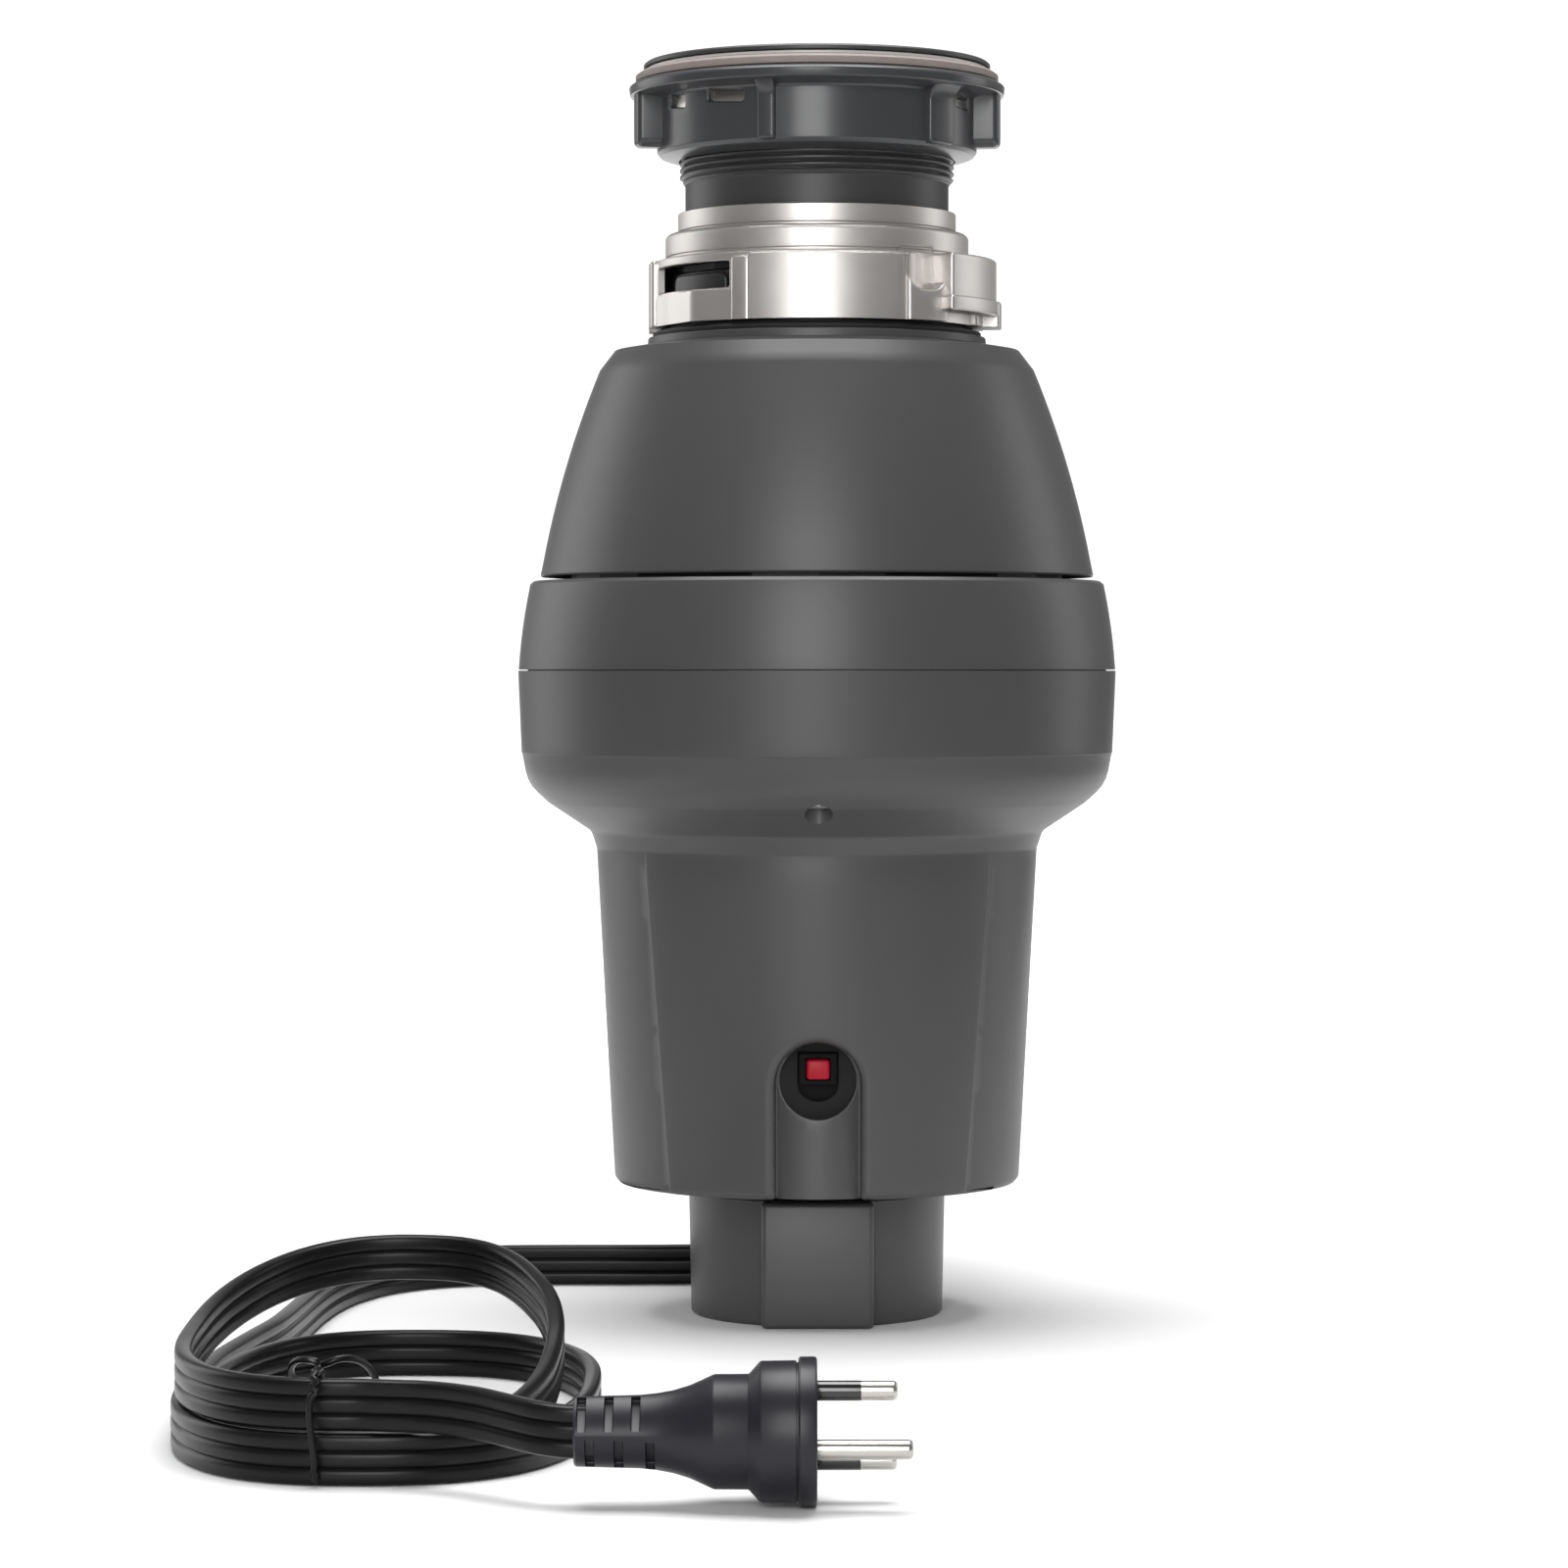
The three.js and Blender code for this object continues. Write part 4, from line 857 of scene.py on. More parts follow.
def bake(piece: bpy.types.Object) -> None:
    """Turns a piece's live modifiers into plain mesh.

    Args:
        piece: the piece.
    """
    bpy.context.view_layer.update()
    graph = bpy.context.evaluated_depsgraph_get()
    mesh = bpy.data.meshes.new_from_object(piece.evaluated_get(graph))
    piece.modifiers.clear()
    piece.data = mesh


def merged(name: str, parts: Sequence[bpy.types.Object], finish: Finish | None = None) -> bpy.types.Object:
    """Puts several solids into one object; each stays its own closed body.

    Args:
        name: the object's name.
        parts: the solids, which are used up.
        finish: one finish for all, or None to keep theirs.

    Returns:
        The joined object.
    """
    points: list[np.ndarray] = []
    faces: list[list[int]] = []
    marks: list[int] = []
    materials: list[bpy.types.Material] = []
    total = 0
    for item in parts:
        mesh = item.data
        held = np.zeros(len(mesh.vertices) * 3)
        mesh.vertices.foreach_get("co", held)
        points.append(held.reshape(-1, 3))
        slot = mesh.materials[0] if mesh.materials else None
        if slot not in materials:
            materials.append(slot)
        for polygon in mesh.polygons:
            faces.append([v + total for v in polygon.vertices])
            marks.append(materials.index(slot))
        total += len(mesh.vertices)
    mesh = bpy.data.meshes.new(name)
    mesh.from_pydata([tuple(p) for p in np.vstack(points)], [], faces)
    made = bpy.data.objects.new(name, mesh)
    bpy.context.scene.collection.objects.link(made)
    mesh.polygons.foreach_set("use_smooth", [True] * len(mesh.polygons))
    mesh.set_sharp_from_angle(angle=radians(SMOOTH_DEGREES))
    if finish is not None:
        mesh.materials.append(finish.material())
    else:
        for item in materials:
            mesh.materials.append(item)
        mesh.polygons.foreach_set("material_index", marks)
    for item in parts:
        bpy.data.objects.remove(item)
    return made


def settle(piece: bpy.types.Object, body: str, finish: Finish, *nodes: str) -> bpy.types.Object:
    """Rides a piece on its body and says which CAD nodes it stands for.

    Args:
        piece: the finished piece.
        body: the CAD body that it moves with.
        finish: its main finish, for the record's slot.
        nodes: the CAD nodes that it replaces.

    Returns:
        The piece.
    """
    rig.ride(piece, body)
    if nodes:
        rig.replaces(piece, *nodes)
    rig.slot(piece, finish.slot)
    log.info("%s: %d faces, on %s", piece.name, len(piece.data.polygons), body)
    return piece


# ------------------------------------------------------------------ repeats by Geometry Nodes
@dataclass(frozen=True)
class Repeat:
    """A Geometry Nodes tree that repeats one shape round the axis."""

    count: int

    def _tree(self, finish: Finish) -> tuple[bpy.types.NodeTree, str]:
        """Builds the tree.

        Args:
            finish: the finish that Set Material gives.

        Returns:
            The tree, and the identifier of its Count input.
        """
        tree = bpy.data.node_groups.new("repeat_ring", "GeometryNodeTree")
        face = tree.interface
        face.new_socket("Geometry", in_out="INPUT", socket_type="NodeSocketGeometry")
        count = face.new_socket("Count", in_out="INPUT", socket_type="NodeSocketInt")
        face.new_socket("Geometry", in_out="OUTPUT", socket_type="NodeSocketGeometry")
        nodes, links = tree.nodes, tree.links
        given, out = nodes.new("NodeGroupInput"), nodes.new("NodeGroupOutput")
        line = nodes.new("GeometryNodeMeshLine")
        line.mode = "OFFSET"
        line.inputs["Offset"].default_value = (0, 0, 0)
        links.new(given.outputs["Count"], line.inputs["Count"])
        spread = nodes.new("GeometryNodeInstanceOnPoints")
        links.new(line.outputs["Mesh"], spread.inputs["Points"])
        links.new(given.outputs["Geometry"], spread.inputs["Instance"])
        index = nodes.new("GeometryNodeInputIndex")
        whole = nodes.new("ShaderNodeMath")
        whole.operation = "DIVIDE"
        whole.inputs[0].default_value = 2 * math.pi
        links.new(given.outputs["Count"], whole.inputs[1])
        share = nodes.new("ShaderNodeMath")
        share.operation = "MULTIPLY"
        links.new(index.outputs[0], share.inputs[0])
        links.new(whole.outputs[0], share.inputs[1])
        spin = nodes.new("ShaderNodeCombineXYZ")
        links.new(share.outputs[0], spin.inputs["Z"])
        links.new(spin.outputs[0], spread.inputs["Rotation"])
        real = nodes.new("GeometryNodeRealizeInstances")
        dress = nodes.new("GeometryNodeSetMaterial")
        dress.inputs["Material"].default_value = finish.material()
        links.new(spread.outputs["Instances"], real.inputs[0])
        links.new(real.outputs[0], dress.inputs["Geometry"])
        links.new(dress.outputs["Geometry"], out.inputs[0])
        return tree, count.identifier

    def apply(self, shape: bpy.types.Object, finish: Finish) -> bpy.types.Object:
        """Repeats a shape in place.

        Args:
            shape: the object whose mesh is repeated, about the origin.
            finish: its finish.

        Returns:
            The same object, as plain mesh.
        """
        tree, count_input = self._tree(finish)
        modifier = shape.modifiers.new("repeat", "NODES")
        modifier.node_group = tree
        modifier[count_input] = self.count
        bake(shape)
        tidy(shape, finish, merge=1e-9)
        return shape


# ------------------------------------------------------------------ walls with relief
class Kind(Enum):
    """What a relief does to a wall."""

    PAD = "stands out"
    POCKET = "is sunk"
    WINDOW = "goes through"


class View(Enum):
    """How a relief's outline lies on the wall."""

    ARC = "wrapped round it, (arc length at the reference radius, z)"
    FRONT = "seen from the front, (x, z)"
    REAR = "seen from behind, (x, z)"


Level = float | Callable[[np.ndarray, np.ndarray], np.ndarray]


@dataclass(frozen=True)
class Relief:
    """One raised, sunk or open area of a wall.

    `level` is a radius for ARC and a y for the others, as a number or a function of the outline's two
    coordinates; with `relative` it is a height over the wall.
    """

    kind: Kind
    outline: tuple[Point2, ...]
    level: Level = 0.0
    soft: float = 0.6
    root: float = 0.0
    view: View = View.ARC
    relative: bool = False
    inner: bool = False


def counterclockwise(outline: Sequence[Point2]) -> np.ndarray:
    """An outline as an array that turns left.

    Args:
        outline: the outline.

    Returns:
        Its points, in order.
    """
    points = np.array(outline, float)
    x, y = points.T
    area = np.sum(x * np.roll(y, -1) - np.roll(x, -1) * y)
    return points if area > 0 else points[::-1]


def grown(outline: np.ndarray, outwards: float) -> np.ndarray:
    """An outline moved outwards by a distance, with mitred corners.

    Args:
        outline: the outline.
        outwards: the distance.

    Returns:
        The moved outline.
    """
    ahead = np.roll(outline, -1, 0) - outline
    ahead /= np.maximum(np.linalg.norm(ahead, axis=1), 1e-9)[:, None]
    behind = np.roll(ahead, 1, 0)
    first = np.stack([behind[:, 1], -behind[:, 0]], 1)
    second = np.stack([ahead[:, 1], -ahead[:, 0]], 1)
    mitre = (first + second) / np.maximum(1 + np.sum(first * second, 1), 0.3)[:, None]
    return outline + mitre * outwards


def divided(outline: np.ndarray, longest: float) -> np.ndarray:
    """An outline with its long sides divided.

    Args:
        outline: the outline.
        longest: the longest side allowed.

    Returns:
        The outline with more points.
    """
    out: list[np.ndarray] = []
    for a, b in zip(outline, np.roll(outline, -1, 0)):
        steps = max(1, int(math.ceil(np.linalg.norm(b - a) / longest)))
        out.extend(a + (b - a) * k / steps for k in range(steps))
    return np.array(out)


def depth_inside(points: np.ndarray, outline: np.ndarray) -> np.ndarray:
    """How far points are inside an outline; negative outside.

    Args:
        points: the points.
        outline: the outline.

    Returns:
        One depth for each point.
    """
    best = np.full(len(points), np.inf)
    inside = np.zeros(len(points), bool)
    for a, b in zip(outline, np.roll(outline, -1, 0)):
        side = b - a
        away = points - a
        t = np.clip(away @ side / max(side @ side, 1e-12), 0, 1)
        best = np.minimum(best, np.linalg.norm(away - t[:, None] * side, axis=1))
        crosses = (a[1] > points[:, 1]) != (b[1] > points[:, 1])
        if abs(side[1]) > 1e-12:
            inside ^= crosses & (points[:, 0] < a[0] + side[0] * (points[:, 1] - a[1]) / side[1])
    return np.where(inside, best, -best)


def quarter(depth: np.ndarray, soft: float) -> np.ndarray:
    """How far a rounded edge drops at a distance from its rim.

    Args:
        depth: distances inwards from the rim.
        soft: the rounding's radius.

    Returns:
        How far the surface is down at each.
    """
    if soft <= 0:
        return np.zeros_like(depth)
    short = np.clip(soft - depth, 0, soft)
    return soft - np.sqrt(np.maximum(soft * soft - short * short, 0))


@dataclass
class Wall:
    """A turned wall with reliefs; outer and inner faces share one triangulation."""

    name: str
    outer: Profile
    inner: Profile
    finish: Finish
    reference: float
    start: float = 60.0
    spacing: float = 2.5
    reliefs: list[Relief] = field(default_factory=list)

    def arc(self, degrees: float) -> float:
        """Degrees from the front as arc length at the reference radius."""
        return radians(degrees) * self.reference

    def patch(
        self, a0: float, a1: float, z0: float, z1: float, corner: float | Sequence[float] = 1.0
    ) -> tuple[Point2, ...]:
        """A rounded rectangle on the wall.

        Args:
            a0: its left edge, in degrees from the front.
            a1: its right edge.
            z0: its bottom.
            z1: its top.
            corner: one corner radius, or four from the bottom left, turning left.

        Returns:
            Its outline.
        """
        u0, u1 = self.arc(a0), self.arc(a1)
        c = [corner] * 4 if isinstance(corner, (int, float)) else list(corner)
        shape = [(u0, z0, c[0]), (u1, z0, c[1]), (u1, z1, c[2]), (u0, z1, c[3])]
        return tuple(rounded(shape))

    def _rows(self) -> tuple[np.ndarray, np.ndarray, np.ndarray, np.ndarray]:
        """The rows' parameter, the profiles' own rows, and both profiles as (parameter, r, z) tables."""
        tables = []
        for profile in (self.outer, self.inner):
            table: list[tuple[float, float, float]] = []
            for r, z in profile:
                v = z if not table else max(z, table[-1][0] + 0.02)
                table.append((v, r, z))
            tables.append(np.array(table))
        low = max(t[0, 0] for t in tables)
        high = min(t[-1, 0] for t in tables)
        tables[0][0, 0] = tables[1][0, 0] = low
        tables[0][-1, 0] = tables[1][-1, 0] = high
        rows = sorted({round(float(v), 4) for t in tables for v in t[:, 0] if low <= v <= high})
        full, own = [rows[0]], [True]
        for v in rows[1:]:
            if v - full[-1] < 0.008:
                continue
            steps = max(1, int(math.ceil((v - full[-1]) / self.spacing)))
            before = full[-1]
            full.extend(before + (v - before) * (k + 1) / steps for k in range(steps))
            own.extend(k == steps - 1 for k in range(steps))
        full[-1] = rows[-1]
        return np.array(full), np.array(own), tables[0], tables[1]

    def _to_sheet(self, relief: Relief, loop: np.ndarray, table: np.ndarray) -> np.ndarray:
        """A loop of a relief's outline in the sheet's own (u, v)."""
        first = self.arc(self.start)
        whole = 2 * math.pi * self.reference
        if relief.view is View.ARC:
            u = loop[:, 0].copy()
            middle = (u.min() + u.max()) / 2
            u += whole * math.ceil((first - middle) / whole)
            return np.stack([u, loop[:, 1]], 1)
        radius = np.interp(loop[:, 1], table[:, 0], table[:, 1])
        angle = np.arcsin(np.clip(loop[:, 0] / radius, -1, 1))
        if relief.view is View.REAR:
            angle = math.pi - angle
        u = angle * self.reference
        middle = (u.min() + u.max()) / 2
        u += whole * math.ceil((first - middle) / whole)
        return np.stack([u, loop[:, 1]], 1)

    def _local(self, relief: Relief, sheet: np.ndarray, table: np.ndarray) -> tuple[np.ndarray, np.ndarray]:
        """Sheet points in a relief's own outline coordinates, and which points it may touch."""
        whole = 2 * math.pi * self.reference
        if relief.view is View.ARC:
            outline = counterclockwise(relief.outline)
            middle = (outline[:, 0].min() + outline[:, 0].max()) / 2
            u = (sheet[:, 0] - middle + whole / 2) % whole - whole / 2 + middle
            return np.stack([u, sheet[:, 1]], 1), np.ones(len(sheet), bool)
        angle = sheet[:, 0] / self.reference
        radius = np.interp(sheet[:, 1], table[:, 0], table[:, 1])
        facing = np.cos(angle) > 0 if relief.view is View.FRONT else np.cos(angle) < 0
        return np.stack([radius * np.sin(angle), sheet[:, 1]], 1), facing

    def _loops(self, relief: Relief) -> list[np.ndarray]:
        """A relief's lines of equal distance, in its own coordinates."""
        outline = counterclockwise(relief.outline)
        soft = relief.soft
        away = [0.02] + [soft * s for s in (0.09, 0.3, 0.62, 1.0)] if soft > 0.05 else [0.02]
        root = [relief.root * s for s in (0.25, 0.6, 1.0)] if relief.root > 0.05 else []
        if relief.inner:
            offsets = [0.02, -0.02]
        elif relief.kind is Kind.PAD:
            offsets = [0.02, *root] + [-a for a in away]
        elif relief.kind is Kind.POCKET:
            offsets = away + [-0.02] + [-r for r in root]
        else:
            offsets = [a for a in away if a > 0.03] + [0.0]
        return [divided(grown(outline, o), 1.4) for o in offsets]

    def _apply(self, relief: Relief, here: np.ndarray, touch: np.ndarray, held: np.ndarray) -> np.ndarray:
        """Moves heights (outwards positive) by one relief.

        Args:
            relief: the relief.
            here: the points in its coordinates.
            touch: which of them it may change.
            held: their heights.

        Returns:
            The new heights.
        """
        depth = depth_inside(here, counterclockwise(relief.outline))
        level = relief.level(here[:, 0], here[:, 1]) if callable(relief.level) else relief.level
        target = held + level if relief.relative else np.broadcast_to(level, held.shape)
        inside = depth > 0
        out = held.copy()
        if relief.kind is Kind.PAD:
            top = target - (0 if relief.inner else quarter(depth, relief.soft))
            out = np.where(inside, np.maximum(held, top), held)
            if relief.root > 0.05:
                rise = quarter(-depth, relief.root)
                out = np.where(~inside, np.maximum(held, np.minimum(target, held + rise)), out)
        else:
            if not relief.inner:
                out = np.where(~inside, held - quarter(-depth, relief.soft), held)
            if relief.kind is Kind.POCKET:
                floor = target
                if relief.root > 0.05 and not relief.inner:
                    floor = np.minimum(target + quarter(depth, relief.root), held)
                out = np.where(inside, np.minimum(held, floor) if not relief.inner else floor, out)
        return np.where(touch, out, held)

    def build(self) -> bpy.types.Object:
        """Triangulates, raises and closes the wall.

        Returns:
            The watertight piece.
        """
        rows, own, outer, inner = self._rows()
        whole = 2 * math.pi * self.reference
        first = self.arc(self.start)
        columns = int(round(whole / self.spacing))
        cells = np.array([(first + whole * c / columns, v) for v in rows for c in range(columns + 1)])
        edge_column = np.tile((np.arange(columns + 1) % columns) == 0, len(rows))
        fixed = edge_column | np.repeat(own, columns + 1)
        keep = np.ones(len(cells), bool)
        loops: list[np.ndarray] = []
        for relief in self.reliefs:
            table = inner if relief.inner else outer
            here, touch = self._local(relief, cells, table)
            depth = depth_inside(here, counterclockwise(relief.outline))
            margin = max(relief.soft, relief.root, 0.1) + 0.55
            keep &= ~((np.abs(depth) < margin) & touch) | fixed
            loops.extend(self._to_sheet(relief, loop, table) for loop in self._loops(relief))
        points: list[np.ndarray] = [cells[keep]]
        number = np.full(len(cells), -1)
        number[keep] = np.arange(int(keep.sum()))
        edges: list[tuple[int, int]] = []
        for r in np.flatnonzero(own):
            line = [n for n in number[r * (columns + 1) : (r + 1) * (columns + 1)] if n >= 0]
            edges.extend(zip(line[:-1], line[1:]))
        total = len(points[0])
        for loop in loops:
            count = len(loop)
            edges.extend((total + i, total + (i + 1) % count) for i in range(count))
            points.append(loop)
            total += count
        flat = [Vector((float(u), float(v))) for u, v in np.vstack(points)]
        made = delaunay_2d_cdt(flat, [(int(a), int(b)) for a, b in edges], [], 0, 1e-5)
        sheet = np.array([(p.x, p.y) for p in made[0]])
        faces = np.array(made[2])
        centre = sheet[faces].mean(1)
        good = (centre[:, 1] > rows[0]) & (centre[:, 1] < rows[-1])
        good &= (centre[:, 0] > first - 1e-3) & (centre[:, 0] < first + whole + 1e-3)
        for relief in self.reliefs:
            if relief.kind is Kind.WINDOW:
                here, touch = self._local(relief, centre, outer)
                good &= ~((depth_inside(here, counterclockwise(relief.outline)) > 0) & touch)
        faces = faces[good]
        sheet[:, 1] = np.clip(sheet[:, 1], rows[0], rows[-1])
        positions = [self._raise(sheet, outer, False), self._raise(sheet, inner, True)]
        count = len(sheet)
        uses: dict[tuple[int, int], int] = {}
        for a, b, c in faces:
            for p, q in ((a, b), (b, c), (c, a)):
                key = (min(p, q), max(p, q))
                uses[key] = uses.get(key, 0) + 1
        ends = (np.abs(sheet[:, 0] - first) < 1e-3) | (np.abs(sheet[:, 0] - first - whole) < 1e-3)
        all_faces: list[list[int]] = [[int(a), int(b), int(c)] for a, b, c in faces]
        all_faces += [[int(a) + count, int(c) + count, int(b) + count] for a, b, c in faces]
        for (a, b), times in uses.items():
            if times == 1 and not (ends[a] and ends[b]):
                all_faces.append([int(a), int(b), int(b) + count, int(a) + count])
        return make_mesh(self.name, np.vstack(positions), all_faces, self.finish)

    def _raise(self, sheet: np.ndarray, table: np.ndarray, inner: bool) -> np.ndarray:
        """The sheet's points in space, for one of the two faces."""
        angle = sheet[:, 0] / self.reference
        radius = np.interp(sheet[:, 1], table[:, 0], table[:, 1])
        z = np.interp(sheet[:, 1], table[:, 0], table[:, 2])
        for relief in self.reliefs:
            if relief.inner is inner and relief.view is View.ARC:
                here, touch = self._local(relief, sheet, table)
                radius = self._apply(relief, here, touch, radius)
        x, y = radius * np.sin(angle), -radius * np.cos(angle)
        for relief in self.reliefs:
            if relief.inner is inner and relief.view is not View.ARC:
                here, touch = self._local(relief, sheet, table)
                if relief.view is View.FRONT:
                    y = -self._apply(relief, here, touch, -y)
                else:
                    y = self._apply(relief, here, touch, y)
        return np.stack([x, y, z], 1)


# ------------------------------------------------------------------ swept shapes
def curve_through(points: Sequence[Sequence[float]], step: float) -> np.ndarray:
    """A smooth path through points, at even steps.

    Args:
        points: the points to pass.
        step: the distance between the path's own points.

    Returns:
        The path, N by 3.
    """
    p = np.array(points, float)
    p = np.vstack([2 * p[0] - p[1], p, 2 * p[-1] - p[-2]])
    dense: list[np.ndarray] = []
    for i in range(1, len(p) - 2):
        knots = [0.0]
        for j in range(3):
            knots.append(knots[-1] + max(np.linalg.norm(p[i + j] - p[i + j - 1]), 1e-6) ** 0.5)
        t0, t1, t2, t3 = knots
        for t in np.linspace(t1, t2, 24, endpoint=False):
            a1 = (t1 - t) / (t1 - t0) * p[i - 1] + (t - t0) / (t1 - t0) * p[i]
            a2 = (t2 - t) / (t2 - t1) * p[i] + (t - t1) / (t2 - t1) * p[i + 1]
            a3 = (t3 - t) / (t3 - t2) * p[i + 1] + (t - t2) / (t3 - t2) * p[i + 2]
            b1 = (t2 - t) / (t2 - t0) * a1 + (t - t0) / (t2 - t0) * a2
            b2 = (t3 - t) / (t3 - t1) * a2 + (t - t1) / (t3 - t1) * a3
            dense.append((t2 - t) / (t2 - t1) * b1 + (t - t1) / (t2 - t1) * b2)
    dense.append(p[-2])
    path = np.array(dense)
    along = np.concatenate([[0], np.cumsum(np.linalg.norm(np.diff(path, axis=0), axis=1))])
    count = max(2, int(round(along[-1] / step)))
    places = np.linspace(0, along[-1], count + 1)
    return np.stack([np.interp(places, along, path[:, k]) for k in range(3)], 1)


def swept(
    name: str, path: np.ndarray, section: np.ndarray, finish: Finish, up: Sequence[float] = (0, 0, 1)
) -> bpy.types.Object:
    """A section drawn along a path, kept upright, with closed ends.

    Args:
        name: the piece's name.
        path: its centre line, N by 3.
        section: its outline, as (sideways, up) pairs.
        finish: its finish.
        up: the direction that stays up.

    Returns:
        The finished object.
    """
    heading = np.gradient(path, axis=0)
    heading /= np.linalg.norm(heading, axis=1)[:, None]
    side = np.cross(heading, np.array(up, float))
    side /= np.linalg.norm(side, axis=1)[:, None]
    above = np.cross(side, heading)
    count = len(section)
    points = (
        path[:, None, :]
        + section[None, :, 0, None] * side[:, None, :]
        + section[None, :, 1, None] * above[:, None, :]
    ).reshape(-1, 3)
    faces: list[list[int]] = []
    for i in range(len(path) - 1):
        for j in range(count):
            k = (j + 1) % count
            faces.append([i * count + j, i * count + k, (i + 1) * count + k, (i + 1) * count + j])
    faces.append(list(range(count))[::-1])
    faces.append([(len(path) - 1) * count + j for j in range(count)])
    return make_mesh(name, points, faces, finish)


def tube(name: str, path: np.ndarray, radius: float, finish: Finish, steps: int = 16) -> bpy.types.Object:
    """A round wire along a path, with frames carried along it.

    Args:
        name: the object's name.
        path: its centre line.
        radius: its radius.
        finish: its finish.
        steps: points round it.

    Returns:
        The wire.
    """
    heading = np.gradient(path, axis=0)
    heading /= np.linalg.norm(heading, axis=1)[:, None]
    side = np.cross(heading[0], [0.31, 0.17, 0.93])
    side /= np.linalg.norm(side)
    rings: list[np.ndarray] = []
    for centre, way in zip(path, heading):
        side = side - way * (side @ way)
        side /= np.linalg.norm(side)
        other = np.cross(way, side)
        at = np.linspace(0, 2 * math.pi, steps, endpoint=False)
        rings.append(centre + radius * (np.cos(at)[:, None] * side + np.sin(at)[:, None] * other))
    ends = [
        path[0] - heading[0] * radius * 0.6,
        path[-1] + heading[-1] * radius * 0.6,
    ]
    points = np.vstack([*rings, ends])
    rows = len(path)
    faces = [
        [i * steps + j, i * steps + (j + 1) % steps, (i + 1) * steps + (j + 1) % steps, (i + 1) * steps + j]
        for i in range(rows - 1)
        for j in range(steps)
    ]
    faces += [[rows * steps, (j + 1) % steps, j] for j in range(steps)]
    last = (rows - 1) * steps
    faces += [[rows * steps + 1, last + j, last + (j + 1) % steps] for j in range(steps)]
    return make_mesh(name, points, faces, finish)


@dataclass(frozen=True)
class Station:
    """One section of a loft: where it is, its two half sizes, and how square it is."""

    along: float
    half_width: float
    half_height: float
    power: float = 2.0


def lofted(
    name: str, stations: Sequence[Station], place: Matrix, finish: Finish, steps: int = 96
) -> bpy.types.Object:
    """A solid through superellipse sections along its own Z.

    Args:
        name: the piece's name.
        stations: its sections in order.
        place: from its own frame to the object's.
        finish: its finish.
        steps: points round each section.

    Returns:
        The finished object.
    """
    rings: list[tuple[float, float, float]] = []
    at = [2 * math.pi * j / steps for j in range(steps)]
    for s in stations:
        for a in at:
            c, d = math.cos(a), math.sin(a)
            size = (abs(c) ** s.power + abs(d) ** s.power) ** (-1 / s.power)
            rings.append((s.half_width * c * size, s.half_height * d * size, s.along))
    rows = len(stations)
    rings += [(0, 0, stations[0].along), (0, 0, stations[-1].along)]
    faces = [
        [i * steps + j, i * steps + (j + 1) % steps, (i + 1) * steps + (j + 1) % steps, (i + 1) * steps + j]
        for i in range(rows - 1)
        for j in range(steps)
    ]
    faces += [[rows * steps, (j + 1) % steps, j] for j in range(steps)]
    last = (rows - 1) * steps
    faces += [[rows * steps + 1, last + j, last + (j + 1) % steps] for j in range(steps)]
    return make_mesh(name, np.array([(place @ Vector(p))[:] for p in rings]), faces, finish)


